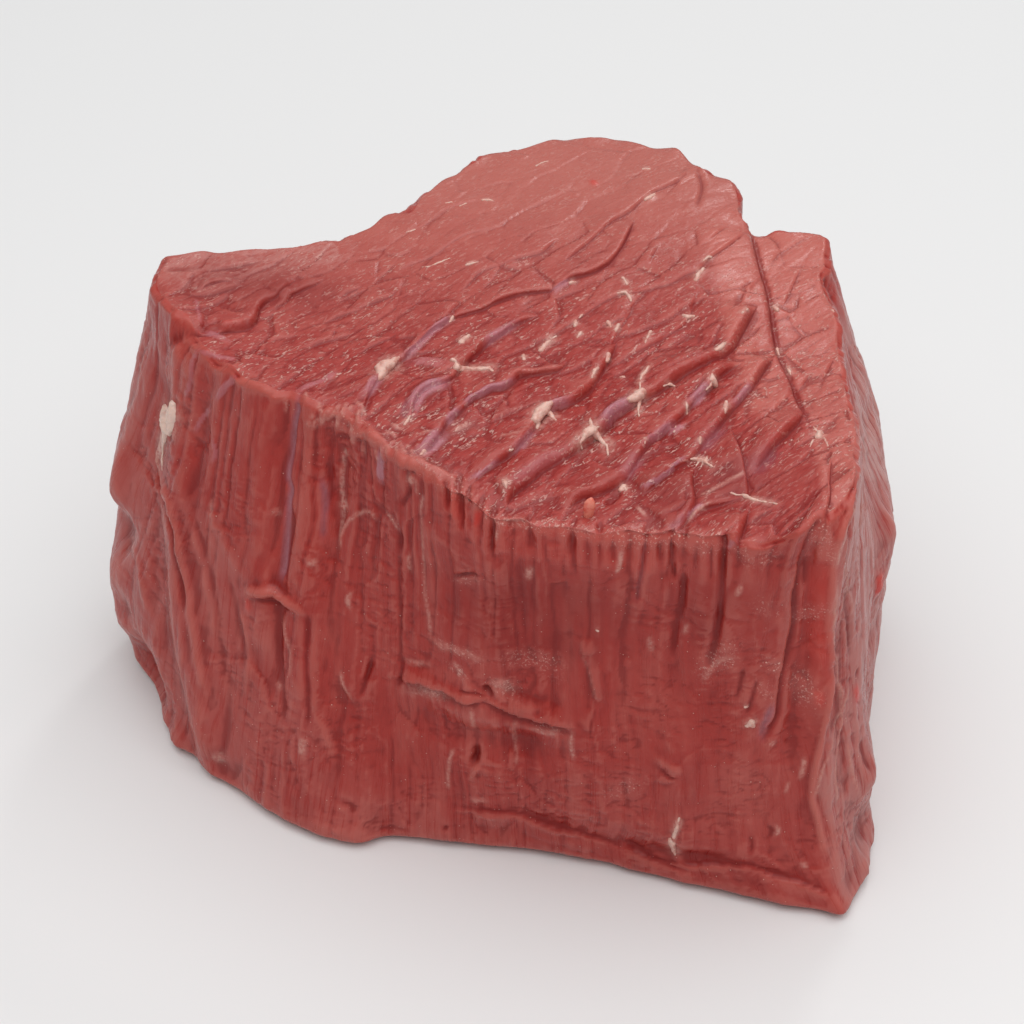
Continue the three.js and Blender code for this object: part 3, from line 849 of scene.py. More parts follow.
def sharpen_rim(rows):
    """Takes the roll off the rim where the photograph shows a sharp edge, and gives how sharp it is there."""
    px, _ = photo_pixels(rows[-1])
    left, right = CRISP_RIM
    crisp = ease((px - left) / CRISP_EASE) * ease((right - px) / CRISP_EASE) * (rows[-1, :, 1] < -20 * MM)
    for row in range(1, ROLL_ROWS):
        rows[-row, :, :2] += (ROLL_SHARE * crisp)[:, None] * (rows[-ROLL_ROWS, :, :2] - rows[-row, :, :2])
    return crisp


def rim_radius(rim):
    """A function that gives how far the rim is from the hub in any direction."""
    angle = np.arctan2(rim[:, 1] - HUB[1], rim[:, 0] - HUB[0])
    order = np.argsort(angle)
    radius = np.linalg.norm(rim[:, :2] - HUB, axis=1)
    return lambda x, y: np.interp(np.arctan2(y - HUB[1], x - HUB[0]), angle[order], radius[order],
                                  period=2 * math.pi)


def cut_height(rim, cut):
    """A function that gives the smooth height of the cut face, without its lips, meeting the rim."""
    known = np.vstack([cut, rim[::6]])
    edge = rim[::3]

    def average(plan):
        out = np.empty(len(plan))
        for part in batches(len(plan), 2000):
            gap = ((plan[part, None, :] - known[None, :, :2]) ** 2).sum(2)
            weight = np.exp(-gap / (2 * SMOOTHING ** 2))
            out[part] = (weight * known[:, 2]).sum(1) / weight.sum(1)
        return out

    missing = edge[:, 2] - average(edge[:, :2])

    def height(plan):
        out = average(plan)
        for part in batches(len(plan), 2000):
            gap = np.sqrt(((plan[part, None, :] - edge[None, :, :2]) ** 2).sum(2))
            weight = 1 / (gap + 0.3 * MM) ** 3
            share = np.exp(-gap.min(1) / (3 * MM))
            out[part] += share * (weight * missing).sum(1) / weight.sum(1)
        return out

    return height


def cut_lines(crests, seam):
    """The lines in plan along which the cut face needs edges: beside the seam and down each lip."""
    lines = [seam + left_of(seam) * offset * SEAM_WIDTH for offset in (-1.3, -0.6, 0.0, 0.6, 1.3)]
    for ends, crest in crests:
        run = max(LIP_RUN * ends.mean(), CUT_GRID)
        offsets = (0.2 * MM, -0.5 * run, -run)
        if ends.mean() > TALL_LIP:
            offsets = (0.6 * MM, 0.15 * MM, -0.3 * run, -0.65 * run, 0.18 * MM - run, -run, -run - 0.18 * MM)
        lines += [crest + left_of(crest) * offset for offset in offsets]
    return lines


def cut_mesh(rim, lines):
    """Points and triangles of the cut face in plan, numbered after the rim's, with edges along the lines."""
    inside = rim_radius(rim)
    x = np.arange(-CUT_SPAN[0], CUT_SPAN[0], CUT_GRID)
    y = np.arange(-CUT_SPAN[1], CUT_SPAN[1], CUT_GRID * math.sqrt(3) / 2)
    gx, gy = np.meshgrid(x, y)
    gx = gx + (np.arange(len(y)) % 2)[:, None] * CUT_GRID / 2
    grid = np.stack([gx.ravel(), gy.ravel()], 1)
    reach = np.linalg.norm(grid - HUB, axis=1)
    grid = grid[reach < inside(grid[:, 0], grid[:, 1]) - 0.7 * CUT_GRID]
    clear = np.ones(len(grid), bool)
    places = [Vector(p) for p in rim[:, :2].tolist()]
    edges = []
    for line in lines:
        distance = np.linalg.norm(line - HUB, axis=1)
        line = line[distance < inside(line[:, 0], line[:, 1]) - CUT_GRID]
        if len(line) < 2:
            continue
        near, gap = near_line(grid, line, CUT_GRID)[:2]
        clear[near[gap < 0.6 * CUT_GRID]] = False
        edges += [(len(places) + i, len(places) + i + 1) for i in range(len(line) - 1)]
        places += [Vector(p) for p in line.tolist()]
    places += [Vector(p) for p in grid[clear].tolist()]
    placed, _, faces, origins, _, _ = delaunay_2d_cdt(places, edges, [list(range(len(rim)))], 1, 1e-7)
    plan = np.array([tuple(p) for p in placed])
    rim_place = {o: i for i, given in enumerate(origins) for o in given if o < len(rim)}
    order = [rim_place[i] for i in range(len(rim))]
    rest = sorted(set(range(len(plan))) - set(order))
    renumber = np.empty(len(plan), int)
    renumber[order + rest] = np.arange(len(plan))
    return plan[rest], renumber[np.array(faces)]


def store(mesh, name, values):
    """Stores a number or an arrow at each of a mesh's points."""
    arrows = values.ndim > 1
    made = mesh.attributes.new(name, "FLOAT_VECTOR" if arrows else "FLOAT", "POINT")
    made.data.foreach_set("vector" if arrows else "value", values.astype(np.float32).ravel())


def read_arrows(items, name):
    """The place or arrow that each of a mesh's items has under a name."""
    values = np.empty(len(items) * 3, np.float32)
    items.foreach_get(name, values)
    return values.reshape(-1, 3)


class Skin:
    """The block's surface as arrays: where each point is, which way is out, and what the shaders are told."""

    MARKS = ("cut", "long_grain", "end_grain", "cliff", "silver", "pale", "deep", "pink", "red", "frost_glints",
             "skin_and_sheen", "relief")

    def __init__(self):
        rows, cut = nudged(*wall_grid())
        self.crisp = sharpen_rim(rows)
        self.rim = rows[-1]
        height = cut_height(self.rim, cut)
        self.crests = []
        for *proud, pixels in LIPS:
            ends = np.array([proud[0], proud[-1]]) * LIP_HEIGHT * MM
            if pixels[0][0] > WHOLE_LIPS:
                ends *= np.interp(np.mean(pixels, axis=0)[1], BACK_LIPS, (0.5, 1.0))
            plan = photo_places(height, pixels, np.linspace(*ends, len(pixels)))
            self.crests.append((ends, smooth_line(plan, CUT_GRID)))
        self.seam = smooth_line(photo_places(height, SEAM, [SEAM_STEP / 2] * len(SEAM)), CUT_GRID)
        inner, tris = cut_mesh(self.rim, cut_lines(self.crests, self.seam))
        inner = np.column_stack([inner, height(inner)])
        self.points = np.vstack([rows.reshape(-1, 3), inner, [[*HUB, 0.0]]])
        count = len(self.points)
        i = np.arange(RIM_START)
        right = i - i % COLUMNS + (i + 1) % COLUMNS
        self.wall_faces = np.stack([i, right, right + COLUMNS, i + COLUMNS], 1)
        self.cut_faces = tris + RIM_START
        j = np.arange(COLUMNS)
        self.sole_faces = np.stack([np.full(COLUMNS, count - 1), (j + 1) % COLUMNS, j], 1)
        self.out = self.normals()
        self.is_cut = np.arange(count) >= RIM_START
        self.is_cut[-1] = False
        self.seen = faces_camera(self.points, self.out)
        self.marks = {name: np.zeros(count) for name in self.MARKS}
        self.marks["cut"][self.is_cut] = 1.0
        grain = ease(self.points[:, 2] / (4 * MM)) * (0.6 + 0.4 * self.seen)
        self.marks["long_grain"] = np.where(self.is_cut, 0.0, grain)
        self.marks["skin_and_sheen"] = skin_and_sheen(self.points, self.seen)
        inward = nearest_gap(self.points[self.is_cut, :2], self.rim[::2, :2])
        self.marks["end_grain"][self.is_cut] = ease(inward / (1.5 * MM))
        self.arrows = {"out": self.out, "grain": self.grain_places()}

    def add_mark(self, name, chosen, values):
        """Strengthens a mark at the chosen points."""
        self.marks[name][chosen] = np.maximum(self.marks[name][chosen], values)

    def mesh(self, name):
        """A Blender mesh of the whole surface with its marks."""
        mesh = bpy.data.meshes.new(name)
        faces = self.wall_faces.tolist() + self.sole_faces.tolist() + self.cut_faces.tolist()
        mesh.from_pydata(self.points.tolist(), [], faces)
        mesh.shade_smooth()
        return mesh

    def normals(self):
        """Which way is out at each point."""
        mesh = self.mesh("normals")
        out = read_arrows(mesh.vertex_normals, "vector")
        bpy.data.meshes.remove(mesh)
        return out.astype(float)

    def surface(self):
        """The surface as it is now, for rays to meet."""
        walls = self.wall_faces
        faces = np.vstack([walls[:, [0, 1, 2]], walls[:, [0, 2, 3]], self.cut_faces])
        return BVHTree.FromPolygons(self.points.tolist(), faces.tolist())

    def grain_places(self):
        """Places laid out so that a pattern drawn out along z follows the fibres down the wall."""
        x, y, z = self.points.T
        angle = np.arctan2(y - HUB[1], x - HUB[0]) + GRAIN_TWIST * z
        return np.stack([np.cos(angle) * GRAIN_RADIUS, np.sin(angle) * GRAIN_RADIUS, z * GRAIN_STRETCH], 1)


def nearest_gap(places, others):
    """How far each place is from the nearest of the others."""
    out = np.empty(len(places))
    for part in batches(len(places), 4000):
        out[part] = np.sqrt(((places[part, None, :] - others[None, :, :]) ** 2).sum(2).min(1))
    return out


def faces_camera(places, out):
    """How far each place is turned to the photograph's camera, from 0 on the hidden sides to 1."""
    toward = photo_line(0, 0)[0] - places
    toward /= np.linalg.norm(toward, axis=1)[:, None]
    return ease((out * toward).sum(1) * 5 + 0.3)


def skin_and_sheen(places, seen):
    """How much greyish skin and painted sheen each place has: as in the photograph where it shows, even
    elsewhere.
    """
    px, py = photo_pixels(places)
    shown = np.zeros(len(places))
    for strength, corners in SKIN_AND_SHEEN:
        corners = np.array(corners)
        inside = np.zeros(len(places), bool)
        for (ax, ay), (bx, by) in zip(corners, np.roll(corners, -1, axis=0)):
            if ay != by:
                inside ^= ((ay > py) != (by > py)) & (px < (bx - ax) * (py - ay) / (by - ay) + ax)
        edge = smooth_line(np.vstack([corners, corners[:1]]), 4.0)
        near, gap = near_line(np.stack([px, py], 1), edge, SKIN_FEATHER)[:2]
        depth = np.full(len(places), SKIN_FEATHER)
        depth[near] = gap
        depth = np.where(inside, depth, -depth)
        shown = np.maximum(shown, strength * ease((depth / SKIN_FEATHER + 1) / 2))
    return seen * shown + (1 - seen) * HIDDEN_SKIN


def raise_lips(skin):
    """The overlapping bundles of the cut face, rim and all: each rises to its lip and drops to the next."""
    below = np.zeros(len(skin.points))
    top = np.arange(RIM_START - LIP_ROWS * COLUMNS, RIM_START)
    below[:RIM_START] = 1.0
    below[top] = np.tile(skin.rim[:, 2], LIP_ROWS) - skin.points[top, 2]
    chosen = np.flatnonzero(below < 20 * MM)
    chosen = chosen[(chosen < len(skin.points) - 1) & (chosen >= top[0])]
    plan = skin.points[chosen, :2]
    lift = np.zeros(len(chosen))
    for number, (ends, crest) in enumerate(skin.crests):
        width = LIP_WIDTH * min(1.0, 0.45 + ends.mean() / (2.6 * MM))
        near, gap, along, place, way, length = near_line(plan, crest, width)
        side = plan[near] - place
        side = np.where(side[:, 1] * way[:, 0] - side[:, 0] * way[:, 1] > -1e-9, gap, -gap)
        proud = ends[0] + (ends[1] - ends[0]) * along / length
        run = np.maximum(LIP_RUN * proud, CUT_GRID)
        fade = ease(along / LIP_FADE) * ease((length - along) / LIP_FADE)
        fade *= ease(1 - below[chosen[near]] / (3 * proud + 4 * MM))
        uneven = 1 + 0.16 * np.sin(along / (3.1 * MM) + number)
        uneven += 0.08 * np.sin(along / (1.3 * MM) + 2 * number)
        behind = np.clip(1 - side / width, 0, 1) ** 1.4 - 0.16 * np.exp(-np.maximum(side, 0) / (0.45 * MM))
        down = np.clip(-side / run, 0, 1)
        front = 0.92 * np.cos(down * math.pi / 2) ** 0.8 - 0.08
        front[down == 1] *= np.exp((side + run)[down == 1] / (0.5 * MM))
        lift[near] += proud * fade * uneven * np.where(side > -1e-6, behind, front)
        size = np.minimum(1.0, proud / TALL_LIP)
        face = ease((side + run) / (0.3 * MM)) * ease(-side / (0.3 * MM))
        skin.add_mark("cliff", chosen[near], face * fade * size)
        # Painted shade in a thin line along each lip's foot
        skin.add_mark("deep", chosen[near], fade * size ** 2 * np.exp(-((side + run) / (0.17 * MM)) ** 2))
    skin.points[chosen, 2] += lift


def open_seam(skin):
    """The seam between the two muscles: a crack, with the broad muscle's edge above the narrow one's."""
    chosen = np.flatnonzero(skin.is_cut)
    plan = skin.points[chosen, :2]
    near, gap, along, place, way, length = near_line(plan, skin.seam, 14 * MM)
    offset = plan[near] - place
    side = np.sign(offset[:, 1] * way[:, 0] - offset[:, 0] * way[:, 1]) * gap
    fade = ease((along + 2 * MM) / (4 * MM)) * ease((length + 2 * MM - along) / (6 * MM))
    step = -np.clip(side / SEAM_WIDTH, -1, 1) * 0.5 * SEAM_STEP * np.exp(-gap / (5 * MM))
    crack = -SEAM_DEPTH * np.exp(-(gap / SEAM_WIDTH) ** 2)
    skin.points[chosen[near], 2] += fade * (step + crack)
    # Painted shade along the crack, stronger towards its front end
    dark = 0.3 + 0.35 * ease(along / (35 * MM))
    skin.add_mark("deep", chosen[near], dark * fade * np.exp(-(gap / SEAM_WIDTH) ** 2))
    beside = np.zeros(len(chosen))
    beside[near] = fade * ease(-side / (3 * MM)) * ease(3 - gap / (4 * MM))
    order = np.argsort(skin.seam[:, 1])
    beyond = ease((np.interp(plan[:, 1], skin.seam[order, 1], skin.seam[order, 0]) - plan[:, 0]) / (-2 * MM))
    skin.add_mark("pink", chosen, np.maximum(beside, beyond))


def stroke(skin, surface, pixels, half_width, height, marks, stepped=False, round_top=False):
    """A ridge, groove or step through photo pixels, its sizes in millimetres, thinning out at its ends."""
    line = photo_points(surface, pixels)
    if len(line) < 2:
        return
    line = smooth_line(line, STROKE_STEP)
    half_width *= MM
    reach = (STEP_REACH if stepped else STROKE_REACH) * half_width
    near, gap, along, place, way, length = near_line(skin.points, line, reach)
    taper = min(5 * half_width, 0.45 * length)
    fade = ease((along + 0.3 * taper) / taper) * ease((length + 0.3 * taper - along) / taper)
    fade *= 1 + UNEVEN * np.sin(along / UNEVEN_RUN + pixels[0][0])
    rise = shape = np.exp(-(gap / half_width) ** 2)
    if round_top:
        rise = shape = np.sqrt(np.clip(1 - (gap / (1.15 * half_width)) ** 2, 0, 1))
    if stepped:
        side = np.cross(skin.out[near], way)
        side = np.sign(((skin.points[near] - place) * side).sum(1)) * gap
        rise = np.clip(1 - side / reach, 0, 1) * np.clip(1 + side / (0.5 * half_width), 0, 1)
        shape = np.exp(-((side + 0.6 * half_width) / (0.5 * half_width)) ** 2)
    skin.points[near] += (height * MM * fade * rise)[:, None] * skin.out[near]
    for mark, strength in marks.items():
        if mark in ("silver", "pale", "pink"):
            for dark in ("deep", "cliff"):
                skin.marks[dark][near] *= 1 - strength * np.clip(fade * shape, 0, 1)
        core = shape ** 2 if mark == "deep" else np.clip(1.5 * shape, 0, 1)
        skin.add_mark(mark, near, strength * np.clip(fade, 0, 1) * core)


def draw_strokes(skin):
    """Everything that the photograph shows as a line on the meat."""
    surface = skin.surface()
    # Below, the deep mark paints shade, the pink one pale meat and highlight, and the frosty one glints
    for kinds, marks in ((HOLLOWS, {"deep": 1.0}), (RIDGES, {"pink": 1.0}), (GROOVES, {"deep": 1.0}),
                         (PURPLE_VALLEYS, {"silver": 0.75, "deep": 0.5}), (SILVERSKIN, {"silver": 1.0}),
                         (PALE_LINES, {"pale": 1.0}), (BLOODY, {"red": 1.0}), (FROST, {"frost_glints": 1.0})):
        for half_width, height, strength, pixels in kinds:
            given = {mark: share * strength for mark, share in marks.items()}
            rise = height * (SILVER_RISE if kinds is SILVERSKIN else 1.0)
            stroke(skin, surface, pixels, half_width, rise, given, round_top=kinds is SILVERSKIN)
    for half_width, height, strength, pixels in STEPS_DOWN:
        stroke(skin, surface, pixels, half_width, height, {"deep": strength}, True)
    stroke(skin, surface, FAT_TAG, 1.5, 0.8, {"pale": 1.0})
    part_rim(skin, surface)
    for strand in FAT_STRANDS:
        widest = max(radius for _, _, radius in strand)
        if len(strand) > 1 and widest > 0.3:
            stroke(skin, surface, [(x, y) for x, y, _ in strand], 1.5 * widest, 0.2, {"pale": 0.5})
    for number in range(FLAKES):
        x = FLAKE_START + FLAKE_SPAN * (0.618 * number % 1.0)
        y = np.interp(x, *FLAKE_TOP) + FLAKE_DROP * (0.755 * number % 1.0)
        lean, long = 6 * math.sin(2.4 * number), 5 + 4 * math.sin(1.9 * number)
        stroke(skin, surface, [(x, y), (x + 0.6 * lean, y + long), (x + lean, y + 2 * long)], 0.35, 0.4,
               {"pale": 0.3})


def part_rim(skin, surface):
    """The grooves that part the front rim into upright lobes, and the lobes between them."""
    for number, x in enumerate(RIM_GROOVES):
        y = np.interp(x, *np.array(FRONT_RIM).T)
        long = 30 + 18 * math.sin(2.1 * number)
        drift = 4 * math.sin(1.3 * number)
        parting = x in RIM_PARTINGS or x < LEFT_PARTINGS
        start = [(x + 3, y - 7), (x, y)] if parting else [(x, y + 6)]
        course = ((0.2, 0.3), (0.5, 0.6), (1, 1))
        pixels = start + [(x + bend * drift, y + share * long) for bend, share in course]
        depth = (0.85 if parting else 0.4) + 0.25 * math.sin(1.7 * number)
        # Painted shade in each groove, more in the partings
        dark = (0.3 if parting else 0.1) + 0.1 * math.sin(2.9 * number)
        stroke(skin, surface, pixels, 0.5 + 0.15 * math.sin(2.3 * number), -depth, {"deep": dark})
        if number:
            across = x - RIM_GROOVES[number - 1]
            middle = x - 0.5 * across
            course = ((0, -1), (0, 14), (0.3, 26), (1, 44))
            pixels = [(middle + bend * drift, y + fall) for bend, fall in course]
            # The lobe between two grooves, raised, with painted highlight on it
            stroke(skin, surface, pixels, 0.38 * across * PIXEL, 0.4, {"pink": 0.3, "red": 0.22})


def mark_relief(skin):
    """Marks how far each point stands above its surroundings, up to 1, or lies below them, down to -1."""
    walls, cut = skin.wall_faces, skin.cut_faces
    a = np.concatenate([walls[:, 0], walls[:, 0], cut[:, 0], cut[:, 1], cut[:, 2]])
    b = np.concatenate([walls[:, 1], walls[:, 3], cut[:, 1], cut[:, 2], cut[:, 0]])
    a, b = np.concatenate([a, b]), np.concatenate([b, a])
    count = np.maximum(np.bincount(a, minlength=len(skin.points)), 1)
    even = skin.points.copy()
    relief = np.zeros(len(skin.points))
    for steps, scale in RELIEF_STEPS:
        for _ in range(steps):
            even = np.stack([np.bincount(a, even[b, axis], len(even)) / count for axis in range(3)], 1)
        relief += ((skin.points - even) * skin.out).sum(1) / scale
    relief[-1] = 0
    cut_share = np.interp(skin.points[:, 1], *CUT_RELIEF)
    relief *= np.where(skin.is_cut, cut_share, WALL_RELIEF[0] + WALL_RELIEF[1] * skin.seen)
    skin.marks["relief"] = np.clip(relief, -1, 1)


class Wire:
    """A node's output, on which sums can be written: each adds a Math node to the recipe's tree."""

    def __init__(self, recipe, socket):
        self.recipe = recipe
        self.socket = socket

    def __add__(self, other):
        return self.recipe.math("ADD", self, other)

    def __sub__(self, other):
        return self.recipe.math("SUBTRACT", self, other)

    def __rsub__(self, other):
        return self.recipe.math("SUBTRACT", other, self)

    def __mul__(self, other):
        return self.recipe.math("MULTIPLY", self, other)

    def __truediv__(self, other):
        return self.recipe.math("DIVIDE", self, other)

    def __rtruediv__(self, other):
        return self.recipe.math("DIVIDE", other, self)

    def __abs__(self):
        return self.recipe.math("ABSOLUTE", self, 0.0)


class Recipe:
    """A node tree being built: each step adds a node, sets it and its inputs, and gives an output."""

    def __init__(self, tree):
        self.tree = tree

    def fill(self, node, inputs):
        """Joins a node's inputs to wires, or sets them to plain values."""
        for key, value in inputs.items():
            if isinstance(value, Wire):
                self.tree.links.new(value.socket, node.inputs[key])
            else:
                node.inputs[key].default_value = value

    def add(self, kind, inputs=None, out=0, **settings):
        """A new node, with its settings and inputs."""
        node = self.tree.nodes.new(kind)
        for name, value in settings.items():
            setattr(node, name, value)
        self.fill(node, inputs or {})
        return Wire(self, node.outputs[out])

    def math(self, operation, a, b, clamp=False):
        """A sum of two numbers."""
        return self.add("ShaderNodeMath", {0: a, 1: b}, operation=operation, use_clamp=clamp)

    def vector(self, operation, a, b, out=0):
        """A sum of two places or arrows."""
        return self.add("ShaderNodeVectorMath", {0: a, 1: b}, out, operation=operation)

    def scaled(self, a, factor):
        """An arrow made longer or shorter."""
        return self.add("ShaderNodeVectorMath", {0: a, 3: factor}, operation="SCALE")

    def centred(self, a, factor):
        """A random colour as an arrow that points any way, as long as the factor at most."""
        return self.scaled(self.vector("SUBTRACT", a, (0.5, 0.5, 0.5)), factor)

    def stretched(self, place, *factors):
        """The place with each axis multiplied by its own factor."""
        return self.vector("MULTIPLY", place, factors)

    def axis(self, place, number):
        """The place's x, y or z."""
        return self.add("ShaderNodeSeparateXYZ", {0: place}, number)

    def spread(self, value, low, high, to_low=0.0, to_high=1.0):
        """The value's range from low to high, moved smoothly to another range and cut off at its ends."""
        return self.add("ShaderNodeMapRange", {0: value, 1: low, 2: high, 3: to_low, 4: to_high},
                        interpolation_type="SMOOTHSTEP")

    def blend(self, factor, a, b):
        """Two colours mixed."""
        return self.add("ShaderNodeMix", {0: factor, 6: a, 7: b}, 2, data_type="RGBA")

    def noise(self, place, scale, detail=2.0, roughness=0.5, distortion=0.0, out=0):
        """Soft random mottling, as a number, or as a colour from output 1."""
        return self.add("ShaderNodeTexNoise", {"Vector": place, "Scale": scale, "Detail": detail,
                                               "Roughness": roughness, "Distortion": distortion}, out)

    def cells(self, inputs, feature, out=0):
        """A pattern of cells."""
        return self.add("ShaderNodeTexVoronoi", inputs, out, feature=feature)

    def facets(self, place, scale, smoothness, tilt):
        """Heights over a pattern of flat facets, each tilted its own way."""
        inputs = {"Vector": place, "Scale": scale, "Smoothness": smoothness}
        slope = self.centred(self.cells(inputs, "SMOOTH_F1", 1), tilt)
        centre = self.cells(inputs, "SMOOTH_F1", 2)
        return self.vector("DOT_PRODUCT", self.vector("SUBTRACT", place, centre), slope, 1)

    def turned(self, place, angle, *stretch):
        """The place turned about the upright axis, then stretched, so that a pattern runs along a heading."""
        spun = self.add("ShaderNodeVectorRotate", {"Vector": place, "Angle": angle}, rotation_type="Z_AXIS",
                        invert=True)
        return self.stretched(spun, *stretch)

    def mark(self, name, kind="FLOAT"):
        """A mark stored on the surface, in a modifier's tree."""
        return self.add("GeometryNodeInputNamedAttribute", {"Name": name}, data_type=kind)

    def painted(self, name, out="Fac"):
        """A mark stored on the surface, in a material."""
        return self.add("ShaderNodeAttribute", None, out, attribute_name=name)

    def group(self, tree, **inputs):
        """A node group in a material, its inputs joined or set by name: its outputs by name."""
        node = self.tree.nodes.new("ShaderNodeGroup")
        node.node_tree = tree
        self.fill(node, {name.capitalize(): value for name, value in inputs.items()})
        return {socket.name: Wire(self, socket) for socket in node.outputs}


def new_group(name, inputs, outputs=("Geometry",)):
    """An empty node group as a recipe, its given inputs by name, and its result node.

    An input is named with its kind, or with its default number. One that takes geometry gives geometry.
    """
    solid = "Geometry" in inputs
    tree = bpy.data.node_groups.new(name, "GeometryNodeTree" if solid else "ShaderNodeTree")
    for label, default in inputs.items():
        kind = {int: "Int", float: "Float"}.get(type(default), default)
        socket = tree.interface.new_socket(label, in_out="INPUT", socket_type="NodeSocket" + kind)
        if kind != default:
            socket.default_value = default
    for label in outputs:
        kind = "NodeSocketGeometry" if solid else "NodeSocketFloat"
        tree.interface.new_socket(label, in_out="OUTPUT", socket_type=kind)
    recipe = Recipe(tree)
    given = {socket.name: Wire(recipe, socket) for socket in tree.nodes.new("NodeGroupInput").outputs}
    return recipe, given, tree.nodes.new("NodeGroupOutput")


def add_modifier(piece, tree, **values):
    """Gives a piece a Geometry Nodes modifier; its inputs are set by the identifiers of their sockets."""
    modifier = piece.modifiers.new(tree.name, "NODES")
    modifier.node_group = tree
    for item in tree.interface.items_tree:
        name = item.name.replace(" ", "_").lower()
        if item.item_type == "SOCKET" and item.in_out == "INPUT" and name in values:
            modifier[item.identifier] = values[name]


def finish_grain(r, given, result, offset, sign):
    """Moves the surface by an offset, and gives its wall or its cut face the given material."""
    moved = r.add("GeometryNodeSetPosition", {"Geometry": given["Geometry"], "Offset": offset})
    real = r.add("GeometryNodeRealizeInstances", {0: moved})
    part = r.math(sign, r.mark("cut"), 0.5)
    r.fill(result, {0: r.add("GeometryNodeSetMaterial", {"Geometry": real, "Selection": part,
                                                         "Material": given["Material"]})})
    return r.tree


def long_grain_tree():
    """The wall's upright muscle bundles, their fine fibres, and the wrinkles and swellings across them."""
    r, given, result = new_group("Long grain", {
        "Geometry": "Geometry", "Bundle width": 0.0045, "Bundle depth": 0.0005, "Fibre width": 0.0012,
        "Fibre depth": 0.0002, "Wrinkle depth": 0.0003, "Block tilt": 0.06, "Seed": 7,
        "Material": "Material"})
    here = r.add("GeometryNodeInputPosition")
    shift = r.add("ShaderNodeCombineXYZ", {0: given["Seed"], 1: 0.0, 2: 0.0})
    place = r.vector("ADD", here, shift)
    grain = r.vector("ADD", r.mark("grain", "FLOAT_VECTOR"), shift)
    grain = r.vector("ADD", grain, r.centred(r.noise(place, 45.0, out=1), 0.006))
    blocks = r.facets(r.stretched(grain, 1.0, 1.0, 6.0), 110.0, 0.08, given["Block tilt"])
    narrow = 1.0 / given["Bundle width"]
    bundles = r.noise(r.stretched(grain, 1.0, 1.0, 1.4), narrow, 1.0, 0.4)
    creases = r.noise(r.stretched(grain, 1.0, 1.0, 0.8), narrow * 0.6, 1.0, 0.4)
    bundles = (bundles - 0.5) * 2.6 + r.spread(abs(creases - 0.5), 0.0, 0.11)
    fibres = r.noise(r.stretched(grain, 1.0, 1.0, 1.6), 1.0 / given["Fibre width"])
    wrinkles = r.noise(r.stretched(place, 0.35, 0.35, 1.0), 240.0, 3.0, 0.6, 0.8)
    wrinkles = r.spread(abs(wrinkles - 0.5), 0.0, 0.07)
    where = r.spread(r.noise(place, 60.0, 1.0), 0.4, 0.6)
    swells = r.noise(r.stretched(place, 1.0, 1.0, 0.7), 95.0, 3.0, 0.6) - 0.5
    level = r.axis(here, 2) + swells * 0.08
    height = (bundles - 0.9) * given["Bundle depth"] * r.spread(level, 0.045, 0.085, 0.55, 1.0)
    height = height + blocks + (fibres - 0.5) * given["Fibre depth"]
    height = height + (wrinkles - 1.0) * where * given["Wrinkle depth"]
    height = height + swells * (given["Wrinkle depth"] * 7.0)
    offset = r.scaled(r.mark("out", "FLOAT_VECTOR"), height * r.mark("long_grain"))
    return finish_grain(r, given, result, offset, "LESS_THAN")


def end_grain_tree():
    """The cut face's bundles seen end on: tilted facets, and small bundles drawn out along one heading."""
    r, given, result = new_group("End grain", {
        "Geometry": "Geometry", "Heading": 0.7, "Facet width": 0.0055, "Facet tilt": 0.2,
        "Bundle width": 0.003, "Bundle depth": 0.00012, "Seam depth": 0.0001, "Pit width": 0.0008,
        "Pit depth": 0.00012, "Seed": 3, "Material": "Material"})
    here = r.add("GeometryNodeInputPosition")
    shift = r.add("ShaderNodeCombineXYZ", {0: given["Seed"], 1: 0.0, 2: 0.0})
    place = r.vector("ADD", r.stretched(here, 1.0, 1.0, 0.0), shift)
    place = r.vector("ADD", place, r.centred(r.noise(place, 90.0, 1.0, out=1), 0.003))
    along = r.turned(place, given["Heading"], 0.4, 1.0, 0.0)
    narrow = 1.0 / given["Facet width"]
    facets = r.facets(along, narrow, 0.06, given["Facet tilt"])
    bundles = r.cells({"Vector": along, "Scale": 1.0 / given["Bundle width"], "Randomness": 0.9},
                      "DISTANCE_TO_EDGE")
    pits = r.noise(along, 1.0 / given["Pit width"], 2.0, 0.55)
    seams = r.spread(r.cells({"Vector": along, "Scale": narrow}, "DISTANCE_TO_EDGE"), 0.0, 0.13)
    back = r.axis(here, 1)
    height = (r.spread(bundles, 0.0, 0.2) - 0.8) * given["Bundle depth"] + (pits - 0.5) * given["Pit depth"]
    height = height * r.spread(back, *CALMER, 1.0, 0.25)
    height = height + (seams * given["Seam depth"] + facets) * r.spread(back, *CALMER, 1.0, 0.55)
    offset = r.add("ShaderNodeCombineXYZ", {0: 0.0, 1: 0.0, 2: height * r.mark("end_grain")})
    return finish_grain(r, given, result, offset, "GREATER_THAN")


def streaks_group():
    """Fine muscle fibres for a material: light and dark streaks, and their height."""
    r, given, result = new_group("Muscle streaks", {"Place": "Vector", "Width": 0.001}, ("Streaks", "Height"))
    scale = 1.0 / given["Width"]
    fine = r.noise(given["Place"], scale, 4.0, 0.62, 0.3)
    broad = r.noise(given["Place"], scale * 0.16, 3.0, 0.55, 0.4)
    r.fill(result, {"Streaks": fine, "Height": fine * 0.7 + broad * 0.3})
    return r.tree


